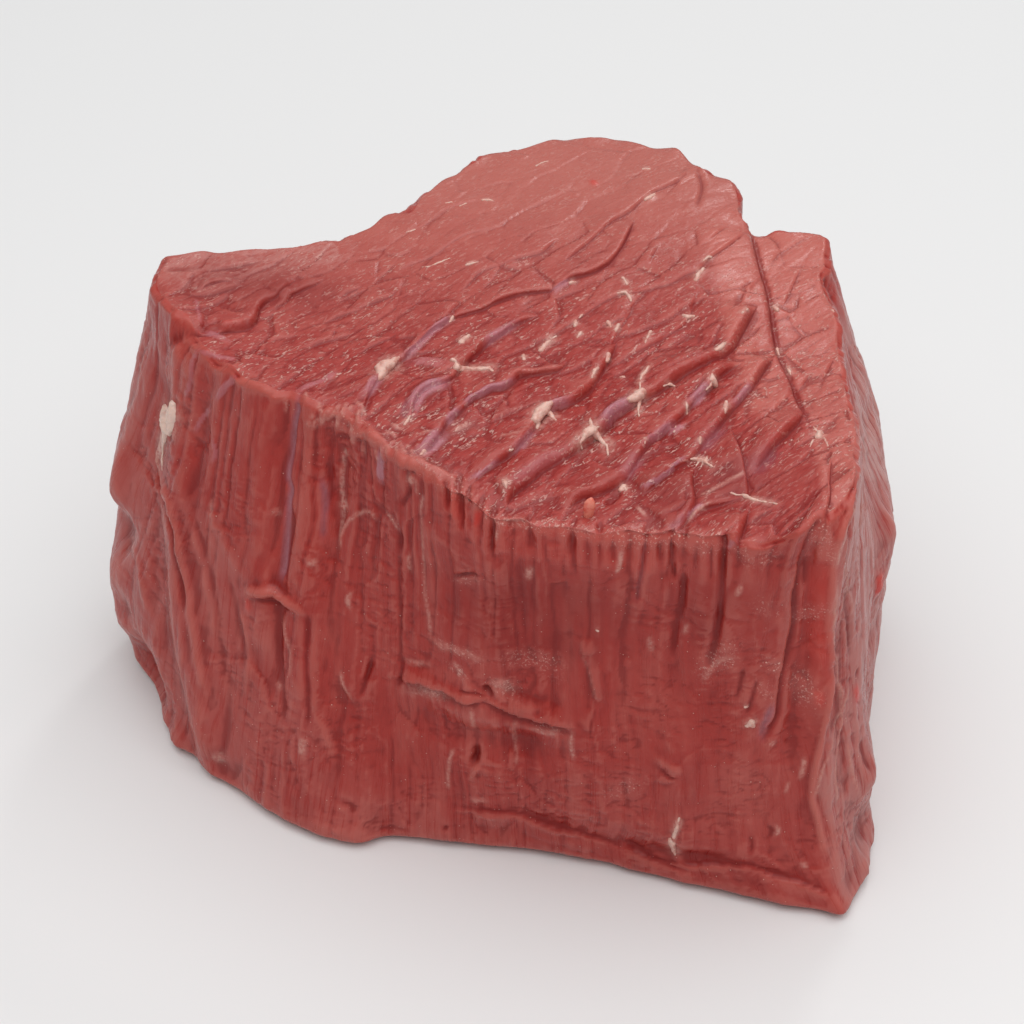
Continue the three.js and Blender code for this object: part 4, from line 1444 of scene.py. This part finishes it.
def flecks_group():
    """Pale painted glints for a material: thin broken lines and small dots, in loose clusters."""
    r, given, result = new_group("Pale flecks", {"Place": "Vector", "Size": 0.0016, "Amount": 0.5,
                                                 "Clusters": 0.5, "Lines": 1.0}, ("Flecks",))
    place = given["Place"]
    scale = 1.0 / given["Size"]
    crowd = r.noise(place, scale * 0.16)
    amount = given["Amount"] * r.spread(crowd, 0.42, 0.62, 1.0 - given["Clusters"], 1.0)
    inputs = {"Vector": place, "Scale": scale, "Randomness": 1.0}
    chance = r.add("ShaderNodeSeparateColor", {0: r.cells(inputs, "F1", 1)})
    size = r.math("SUBTRACT", amount, chance, clamp=True) * 0.3
    shape = r.math("SUBTRACT", 1.0, r.cells(inputs, "F1") / (size + 0.05), clamp=True)
    dots = r.spread(shape, 0.0, 0.45) * r.math("LESS_THAN", chance, amount)
    lines = r.spread(abs(r.noise(place, scale * 0.9) - 0.5), 0.01, 0.05, 1.0, 0.0)
    breaks = r.spread(r.noise(place, scale * 1.3, 1.0), 0.5, 0.56)
    strength = r.math("MULTIPLY", amount, 1.6, clamp=True) * given["Lines"]
    r.fill(result, {"Flecks": r.math("MAXIMUM", dots, lines * breaks * strength)})
    return r.tree


def new_material(name):
    """A material, the recipe of its tree, its shader, and the place on the piece."""
    material = bpy.data.materials.new(name)
    material.use_nodes = True
    recipe = Recipe(material.node_tree)
    here = recipe.add("ShaderNodeTexCoord", None, "Object")
    return material, recipe, material.node_tree.nodes["Principled BSDF"], here


def meat_material(name, colours, groups, cut):
    """Raw lean meat, for the cut face or for the wall, with painted shade, highlight, sheen and glints."""
    material, r, shader, here = new_material(name)
    # In the two lines below, high and low set how much painted highlight and painted shade the relief gives
    if cut:
        lean = colours.cut_lean
        place = r.turned(here, 0.68, 0.4, 1.0, 0.4)
        width, streak_depth, pink_patches, deep_patches, high, low = 0.0008, 0.26, 0.3, 0.3, 0.2, -0.6
        patches = r.noise(here, 110.0, 3.0, 0.6)
        flecks = r.group(groups["flecks"], place=place, size=0.0008, amount=0.46, clusters=0.7)["Flecks"]
    else:
        lean = colours.wall_lean
        place = r.painted("grain", "Vector")
        width, streak_depth, pink_patches, deep_patches, high, low = 0.0011, 0.14, 0.27, 0.4, 0.35, -1.0
        patches = r.noise(r.stretched(place, 1.0, 1.0, 5.0), 110.0, 3.0, 0.6)
        flecks = r.group(groups["flecks"], place=here, size=0.0009, amount=0.48, clusters=1.0,
                         lines=0.0)["Flecks"]
    streaks = r.group(groups["streaks"], place=place, width=width)
    lines = streaks["Streaks"]
    fine = r.spread(lines, 0.32, 0.62)
    height = streaks["Height"]
    far = []
    if cut:
        back = r.axis(here, 1)
        calm = r.spread(back, *CALMER)
        fine = r.math("MAXIMUM", fine, calm * 0.8)
        flecks = flecks * (1.0 - calm * 0.75)
        height = height * (1.0 - calm * 0.85)
        # Painted sheen: the cut face paler towards its back
        far = [(r.spread(back, -0.02, 0.05, 0.0, 0.78), colours.back_sheen)]
    else:
        height = height * 0.5
    relief, cliff, deep, silver = (r.painted(mark) for mark in ("relief", "cliff", "deep", "silver"))
    mottle = r.noise(here, 1300.0, 2.0, 0.6)
    # Painted glints, fewer on lip faces and where shade is painted
    flecks = flecks * r.math("SUBTRACT", 1.0, cliff * 0.6 + deep, clamp=True)
    # Painted glints in frosty clusters, over a faint painted sheen
    glints = r.group(groups["flecks"], place=here, size=0.00085, amount=1.0, clusters=0.3, lines=0.5)["Flecks"]
    frost_glints = r.painted("frost_glints") * (glints + 0.08)
    colour = r.blend(fine, rgba(colours.deep, lean, streak_depth), rgba(lean))
    for share, tint in [
            (r.spread(patches, 0.45, 0.72, 0.0, pink_patches), colours.pink),
            (r.spread(patches, 0.28, 0.46, deep_patches, 0.0), colours.deep), *far,
            # Greyish skin with painted sheen, streaked
            (r.painted("skin_and_sheen") * r.spread(lines, 0.35, 0.6, 0.15, 0.85), colours.veil_and_sheen),
            # Pale meat, and painted highlight on ridges and rim lobes
            (r.painted("pink") * 0.6, colours.pink),
            # Painted highlight where the relief stands up, painted shade where it lies low
            (r.spread(relief, 0.1, 1.0, 0.0, high), colours.pink),
            (r.spread(relief, low, 0.0, 0.55, 0.0), colours.deep),
            # Bright red spots, and painted highlight along the front rim and on its lobes
            (r.painted("red") * 0.9, colours.blood),
            (cliff * 0.7, colours.wall_lean),
            # Painted shade in grooves, tears, hollows, cracks and under steps
            (deep * 0.8, colours.deep),
            (silver * r.spread(mottle, 0.3, 0.6, 0.8, 1.0), colours.silverskin),
            # Fat and pale tissue, and lines of painted highlight
            (r.painted("pale") * r.spread(mottle, 0.35, 0.6, 0.3, 0.85), colours.fat),
            # Painted glints
            (r.math("MAXIMUM", flecks, frost_glints) * 0.8, colours.painted_glint)]:
        colour = r.blend(share, colour, rgba(tint))
    rough = r.spread(lines, 0.3, 0.75, 0.24, 0.42) - silver * 0.14 + deep * 0.3
    height = height + flecks * 0.5 + frost_glints * 0.2 + mottle * 0.2
    bump = r.add("ShaderNodeBump", {"Strength": 0.9, "Distance": 0.00035, "Height": height})
    r.fill(shader, {"Base Color": colour, "Roughness": rough, "Normal": bump,
                    "Specular IOR Level": 0.32 if cut else 0.2, "Coat Weight": 0.08 if cut else 0.04,
                    "Coat Roughness": 0.15, "Subsurface Weight": 0.08, "Subsurface Radius": (1.0, 0.35, 0.25),
                    "Subsurface Scale": 0.0015})
    return material


def rgba(colour, other=None, share=1.0):
    """A colour with its alpha, mixed with another where one is given."""
    mixed = [a * share + b * (1 - share) for a, b in zip(colour, other or colour)]
    return (*mixed, 1.0)


def metres(name, description, default, low, high):
    """A length that the user can change."""
    return FloatProperty(name=name, description=description, default=default, min=low, max=high,
                         unit="LENGTH")


def paint(name, description, default):
    """A colour that the user can change."""
    return FloatVectorProperty(name=name, description=description, default=default, subtype="COLOR")


class RoastSizes(bpy.types.PropertyGroup):
    """The sizes of the meat's relief"""
    bundle_width: metres("Bundle width", "Width of the upright bundles down the wall", 0.0034, 0.002, 0.012)
    bundle_depth: metres("Bundle depth", "Depth of the grooves between the upright bundles", 0.0004, 0.0,
                         0.002)
    fibre_width: metres("Fibre width", "Width of the fine fibres down the wall", 0.0012, 0.0005, 0.003)
    fibre_depth: metres("Fibre depth", "Depth of the fine fibres down the wall", 0.00012, 0.0, 0.001)
    cell_width: metres("Cell width", "Width of the small bundles on the cut face", 0.003, 0.001, 0.008)
    cell_depth: metres("Cell depth", "Depth of the grooves between the small bundles", 0.00012, 0.0, 0.001)
    wrinkle_depth: metres("Wrinkle depth", "Depth of the wrinkles across the wall", 0.00021, 0.0, 0.002)
    facet_width: metres("Facet width", "Width of the flat tilted facets of the cut face", 0.0062, 0.002, 0.02)
    cell_heading: FloatProperty(
        name="Cell heading", description="The way the small bundles are drawn out on the cut face",
        default=math.radians(44), subtype="ANGLE")
    seed: IntProperty(name="Seed", description="Changes which way the random detail falls", default=7, min=0)


class RoastColours(bpy.types.PropertyGroup):
    """The colours of the meat, its fat and the floor"""
    cut_lean: paint("Cut lean", "Lean meat on the cut face", (0.37, 0.043, 0.036))
    # Painted sheen: the cut face's paler lean towards its back
    back_sheen: paint("Far lean", "Paler lean meat at the back of the cut face", (0.485, 0.15, 0.121))
    wall_lean: paint("Wall lean", "Lean meat down the wall", (0.39, 0.038, 0.030))
    # Also painted shade, laid by the deep mark in grooves, tears, hollows, cracks and at lip feet
    deep: paint("Deep", "Meat in grooves and tears", (0.19, 0.008, 0.008))
    # Also painted highlight on ridges, rim lobes and raised relief
    pink: paint("Pink", "Paler patches of meat", (0.55, 0.15, 0.12))
    # Also painted highlight in bands along the front rim and on its lobes
    blood: paint("Blood", "Bright red wet spots", (0.60, 0.030, 0.018))
    # Greyish skin, with painted sheen in it
    veil_and_sheen: paint("Skin", "Thin greyish skin over the side walls", (0.51, 0.23, 0.205))
    silverskin: paint("Silverskin", "Thin bluish skin over the meat", (0.45, 0.175, 0.21))
    # Painted glints: pale flecks and frosty specks of highlight
    painted_glint: paint("Wet", "Wet flecks and frosty grit on the meat", (0.85, 0.52, 0.45))
    # Also the pale marks, which include thin lines of painted highlight
    fat: paint("Fat", "Fat nodes, threads and flecks", (0.73, 0.46, 0.385))
    cream: paint("Cream", "The plain patch of fat at the left end", (0.79, 0.58, 0.49))
    fat_shade: paint("Fat shade", "Darker mottling in the fat", (0.56, 0.20, 0.16))
    nub: paint("Nub", "The small nub of pink flesh at the rim", (0.79, 0.25, 0.18))
    floor: paint("Floor", "The plain surface under the roast", (0.80, 0.80, 0.80))


def in_scene(name, data):
    """A new object in the scene."""
    thing = bpy.data.objects.new(name, data)
    bpy.context.scene.collection.objects.link(thing)
    return thing


def part_mesh(name, skin, faces):
    """One part of the surface as its own mesh, shaded as one with the rest except across the sharp rim."""
    used, renumbered = np.unique(np.concatenate([f.ravel() for f in faces]), return_inverse=True)
    new_faces = []
    start = 0
    for f in faces:
        new_faces += renumbered[start:start + f.size].reshape(f.shape).tolist()
        start += f.size
    mesh = bpy.data.meshes.new(name)
    mesh.from_pydata(skin.points[used].tolist(), [], new_faces)
    mesh.shade_smooth()
    for mark, values in skin.marks.items():
        store(mesh, mark, values[used])
    store(mesh, "grain", skin.arrows["grain"][used])
    own = read_arrows(mesh.vertex_normals, "vector")
    sharp = np.zeros(len(skin.points))
    sharp[RIM_START:RIM_START + COLUMNS] = 0.8 * skin.crisp
    sharp = sharp[used][:, None]
    mesh.normals_split_custom_set_from_vertices((skin.out[used] * (1 - sharp) + own * sharp).tolist())
    return mesh


def evaluated_mesh(piece):
    """The piece's mesh with its modifiers applied; the piece itself is removed."""
    graph = bpy.context.evaluated_depsgraph_get()
    mesh = bpy.data.meshes.new_from_object(piece.evaluated_get(graph), preserve_all_data_layers=True,
                                           depsgraph=graph)
    piece.modifiers.clear()
    bpy.data.objects.remove(piece)
    return mesh


def show(name, mesh, material):
    """A finished piece of the roast: it rides with the body and takes the meat's finish."""
    piece = in_scene(name, mesh)
    mesh.materials.clear()
    mesh.materials.append(material)
    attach(piece, BODY)
    return piece


class ROAST_OT_studio(bpy.types.Operator):
    """Set up the plain floor, the soft light and the camera"""
    bl_idname = "roast.studio"
    bl_label = "Studio"

    def execute(self, context):
        scene = context.scene
        scene.view_settings.view_transform = "Standard"
        scene.view_settings.look = "None"
        mesh = bpy.data.meshes.new("floor")
        corners = [(x * FLOOR_HALF, y * FLOOR_HALF, 0) for x, y in ((-1, -1), (1, -1), (1, 1), (-1, 1))]
        mesh.from_pydata(corners, [], [(0, 1, 2, 3)])
        material, r, shader, here = new_material("Pale floor")
        tint = scene.roast_colours.floor
        colour = r.blend(r.spread(r.noise(here, 3.0, 3.0), 0.3, 0.7), rgba(tint), rgba(tint, (1, 1, 1), 0.97))
        r.fill(shader, {"Base Color": colour, "Roughness": 0.8})
        mesh.materials.append(material)
        in_scene("floor", mesh)
        world = bpy.data.worlds.new("Soft room")
        scene.world = world
        world.use_nodes = True
        world.node_tree.nodes["Background"].inputs[0].default_value = (1.0, 1.0, 1.0, 1.0)
        world.node_tree.nodes["Background"].inputs[1].default_value = ROOM_LIGHT
        for name, place, width, power in LAMPS:
            lamp = bpy.data.lights.new(name, "AREA")
            lamp.shape = "DISK"
            lamp.size = width
            lamp.energy = power
            holder = in_scene(name, lamp)
            holder.location = place
            holder.rotation_euler = (LAMP_AIM - Vector(place)).to_track_quat("-Z", "Y").to_euler()
        camera = bpy.data.cameras.new("camera")
        camera.lens = LENS
        camera.sensor_width = SENSOR
        camera.clip_start = 0.01
        scene.camera = in_scene("camera", camera)
        scene.camera.location = photo_ray(0, 0)[0]
        scene.camera.rotation_euler = (math.pi / 2 - ELEVATION, 0, 0)
        return {"FINISHED"}


class ROAST_OT_meat(bpy.types.Operator):
    """Build the cut face and the wall in place of the plain block"""
    bl_idname = "roast.meat"
    bl_label = "Meat"

    def execute(self, context):
        sizes, colours = context.scene.roast_sizes, context.scene.roast_colours
        groups = {"streaks": streaks_group(), "flecks": flecks_group()}
        cut_material = meat_material("Cut face meat", colours, groups, True)
        wall_material = meat_material("Long grain meat", colours, groups, False)
        skin = Skin()
        raise_lips(skin)
        open_seam(skin)
        draw_strokes(skin)
        mesh = skin.mesh("whole")
        for name, values in {**skin.marks, **skin.arrows}.items():
            store(mesh, name, values)
        whole = in_scene("whole", mesh)
        add_modifier(whole, long_grain_tree(), bundle_width=sizes.bundle_width,
                     bundle_depth=sizes.bundle_depth, fibre_width=sizes.fibre_width,
                     fibre_depth=sizes.fibre_depth, wrinkle_depth=sizes.wrinkle_depth, seed=sizes.seed,
                     material=wall_material)
        add_modifier(whole, end_grain_tree(), heading=sizes.cell_heading, facet_width=sizes.facet_width,
                     bundle_width=sizes.cell_width, bundle_depth=sizes.cell_depth, seed=sizes.seed,
                     material=cut_material)
        mesh = evaluated_mesh(whole)
        skin.points = read_arrows(mesh.vertices, "co").astype(float)
        bpy.data.meshes.remove(mesh)
        skin.out = skin.normals()
        mark_relief(skin)
        front = np.arange(RIM_START) % COLUMNS < COLUMNS // 2
        for name, faces, material in (
                ("roast_wall_a", [skin.wall_faces[front]], wall_material),
                ("roast_wall_b", [skin.wall_faces[~front], skin.sole_faces], wall_material),
                ("roast_cut_face", [skin.cut_faces], cut_material)):
            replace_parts(show(name, part_mesh(name, skin, faces), material), NODE)
        return {"FINISHED"}


def fat_tree():
    """Strands of fat run together: a tube along each curve and a ball at each point, fused and smoothed."""
    r, given, result = new_group("Fat strands", {"Geometry": "Geometry", "Voxel size": 0.00016,
                                                 "Material": "Material"})
    radius = r.add("GeometryNodeInputRadius")
    profile = r.add("GeometryNodeCurvePrimitiveCircle", {"Resolution": 10, "Radius": 1.0})
    tubes = r.add("GeometryNodeCurveToMesh", {"Curve": given["Geometry"], "Profile Curve": profile,
                                              "Scale": radius, "Fill Caps": True})
    spots = r.add("GeometryNodeCurveToPoints", {"Curve": given["Geometry"]}, mode="EVALUATED")
    ball = r.add("GeometryNodeMeshIcoSphere", {"Radius": 1.0, "Subdivisions": 2})
    balls = r.add("GeometryNodeInstanceOnPoints", {"Points": spots, "Instance": ball, "Scale": radius})
    balls = r.add("GeometryNodeRealizeInstances", {0: balls})
    joined = r.tree.nodes.new("GeometryNodeJoinGeometry")
    r.fill(joined, {0: tubes})
    r.fill(joined, {0: balls})
    solid = r.add("GeometryNodeMeshToVolume", {
        "Mesh": Wire(r, joined.outputs[0]), "Voxel Size": given["Voxel size"], "Interior Band Width": 0.0005},
        resolution_mode="VOXEL_SIZE")
    skin = r.add("GeometryNodeVolumeToMesh", {"Volume": solid, "Threshold": 0.1, "Adaptivity": 0.05})
    place = r.add("GeometryNodeInputPosition")
    even = r.add("GeometryNodeBlurAttribute", {"Value": place, "Iterations": 2}, data_type="FLOAT_VECTOR")
    smooth = r.add("GeometryNodeSetPosition", {"Geometry": skin, "Position": even})
    lumps = r.scaled(r.add("GeometryNodeInputNormal"), (r.noise(place, 750.0) - 0.5) * 0.0006)
    bumpy = r.add("GeometryNodeSetPosition", {"Geometry": smooth, "Offset": lumps})
    real = r.add("GeometryNodeRealizeInstances", {0: bumpy})
    shaded = r.add("GeometryNodeSetShadeSmooth", {"Geometry": real})
    r.fill(result, {0: r.add("GeometryNodeSetMaterial", {"Geometry": shaded, "Material": given["Material"]})})
    return r.tree


def fat_material(name, colour, shade, cream):
    """Soft raw fat, with faint darker mottling; the patch at the block's left end is a plain cream."""
    material, r, shader, here = new_material(name)
    mottle = r.noise(here, 700.0, 3.0, 0.6)
    tone = r.blend(r.spread(mottle, 0.35, 0.6, 0.6, 0.0), rgba(colour), rgba(shade))
    left_end = r.spread(r.axis(here, 0), -0.06, -0.05, 0.85, 0.0)
    bump = {"Strength": 0.4, "Distance": 0.0002, "Height": mottle}
    r.fill(shader, {"Base Color": r.blend(left_end, tone, rgba(cream)),
                    "Roughness": r.spread(mottle, 0.3, 0.7, 0.25, 0.45),
                    "Normal": r.add("ShaderNodeBump", bump), "Specular IOR Level": 0.4,
                    "Subsurface Weight": 0.15, "Subsurface Radius": (1.0, 0.5, 0.35),
                    "Subsurface Scale": 0.001})
    return material


def meat_surface():
    """The finished meat, for rays to meet."""
    places, faces = [], []
    for piece in bpy.context.scene.objects:
        if piece.name.startswith("roast_"):
            start = len(places)
            places += [v.co.copy() for v in piece.data.vertices]
            faces += [[start + i for i in p.vertices] for p in piece.data.polygons]
    return BVHTree.FromPolygons(places, faces)


class ROAST_OT_fat(bpy.types.Operator):
    """Lay the fat nodes and threads on the meat"""
    bl_idname = "roast.fat"
    bl_label = "Fat"

    def execute(self, context):
        colours = context.scene.roast_colours
        material = fat_material("Raw fat", colours.fat, colours.fat_shade, colours.cream)
        surface = meat_surface()
        curve = bpy.data.curves.new("fat strands", "CURVE")
        curve.dimensions = "3D"
        for strand in FAT_STRANDS:
            spots = []
            for px, py, radius in strand:
                place, out, _, _ = surface.ray_cast(*photo_ray(px, py))
                if place is not None:
                    spots.append((place + out * FAT_LIFT * radius * MM,
                                  max(radius, THIN_FAT) * FAT_SIZE * MM))
            spline = curve.splines.new("POLY")
            spline.points.add(len(spots) - 1)
            for point, (place, radius) in zip(spline.points, spots):
                point.co = (*place, 1)
                point.radius = radius
        strands = in_scene("fat strands", curve)
        add_modifier(strands, fat_tree(), voxel_size=FAT_VOXEL, material=material)
        show("fat_nodes", evaluated_mesh(strands), material)
        return {"FINISHED"}


class ROAST_OT_nub(bpy.types.Operator):
    """Stand the small nub of flesh at the front rim"""
    bl_idname = "roast.nub"
    bl_label = "Nub"

    def execute(self, context):
        colours = context.scene.roast_colours
        foot = meat_surface().ray_cast(*photo_ray(*NUB_FOOT))[0]
        sides, levels = NUB_SIDES, 4 * len(NUB_RADII)
        places, faces = [], []
        for level in range(levels):
            t = level / (levels - 1)
            radius = np.interp(t * (len(NUB_RADII) - 1), range(len(NUB_RADII)), NUB_RADII) * MM
            radius *= math.sqrt(max(0.0, 1 - max(0.0, (t - 0.8) / 0.2) ** 2)) if t < 1 else 0.05
            lean = 0.5 * MM * t ** 2
            for side in range(sides):
                angle = 2 * math.pi * side / sides
                wave = 1 + 0.08 * math.sin(3 * angle + 5 * t)
                places.append((foot.x + lean + wave * radius * math.cos(angle),
                               foot.y + 0.8 * wave * radius * math.sin(angle),
                               foot.z + (t * 1.25 - 0.25) * NUB_HEIGHT))
                if level:
                    a, b = (level - 1) * sides + side, (level - 1) * sides + (side + 1) % sides
                    faces.append((a, b, b + sides, a + sides))
        faces.append(tuple(range(sides))[::-1])
        faces.append(tuple((levels - 1) * sides + side for side in range(sides)))
        mesh = bpy.data.meshes.new("nub")
        mesh.from_pydata(places, [], faces)
        mesh.shade_smooth()
        show("nub", mesh, fat_material("Pink flesh", colours.nub, colours.blood, colours.nub))
        return {"FINISHED"}


class ROAST_PT_panel(bpy.types.Panel):
    """The steps that build the roast"""
    bl_idname = "ROAST_PT_panel"
    bl_label = "Roast"
    bl_space_type = "VIEW_3D"
    bl_region_type = "UI"
    bl_category = "Roast"

    def draw(self, context):
        for operator in STEPS:
            self.layout.operator(operator.bl_idname)
        for group in (context.scene.roast_sizes, context.scene.roast_colours):
            for name in group.__annotations__:
                self.layout.prop(group, name)


STEPS = (ROAST_OT_studio, ROAST_OT_meat, ROAST_OT_fat, ROAST_OT_nub)
CLASSES = (RoastSizes, RoastColours, *STEPS, ROAST_PT_panel)


def register():
    """Makes the steps, the panel and the values known to Blender."""
    for item in CLASSES:
        bpy.utils.register_class(item)
    bpy.types.Scene.roast_sizes = PointerProperty(type=RoastSizes)
    bpy.types.Scene.roast_colours = PointerProperty(type=RoastColours)


def unregister():
    """Takes them away again."""
    del bpy.types.Scene.roast_colours
    del bpy.types.Scene.roast_sizes
    for item in reversed(CLASSES):
        bpy.utils.unregister_class(item)


def main():
    """Runs every step in order."""
    register()
    bpy.ops.roast.studio()
    bpy.ops.roast.meat()
    bpy.ops.roast.fat()
    bpy.ops.roast.nub()


if __name__ == "__main__":
    main()
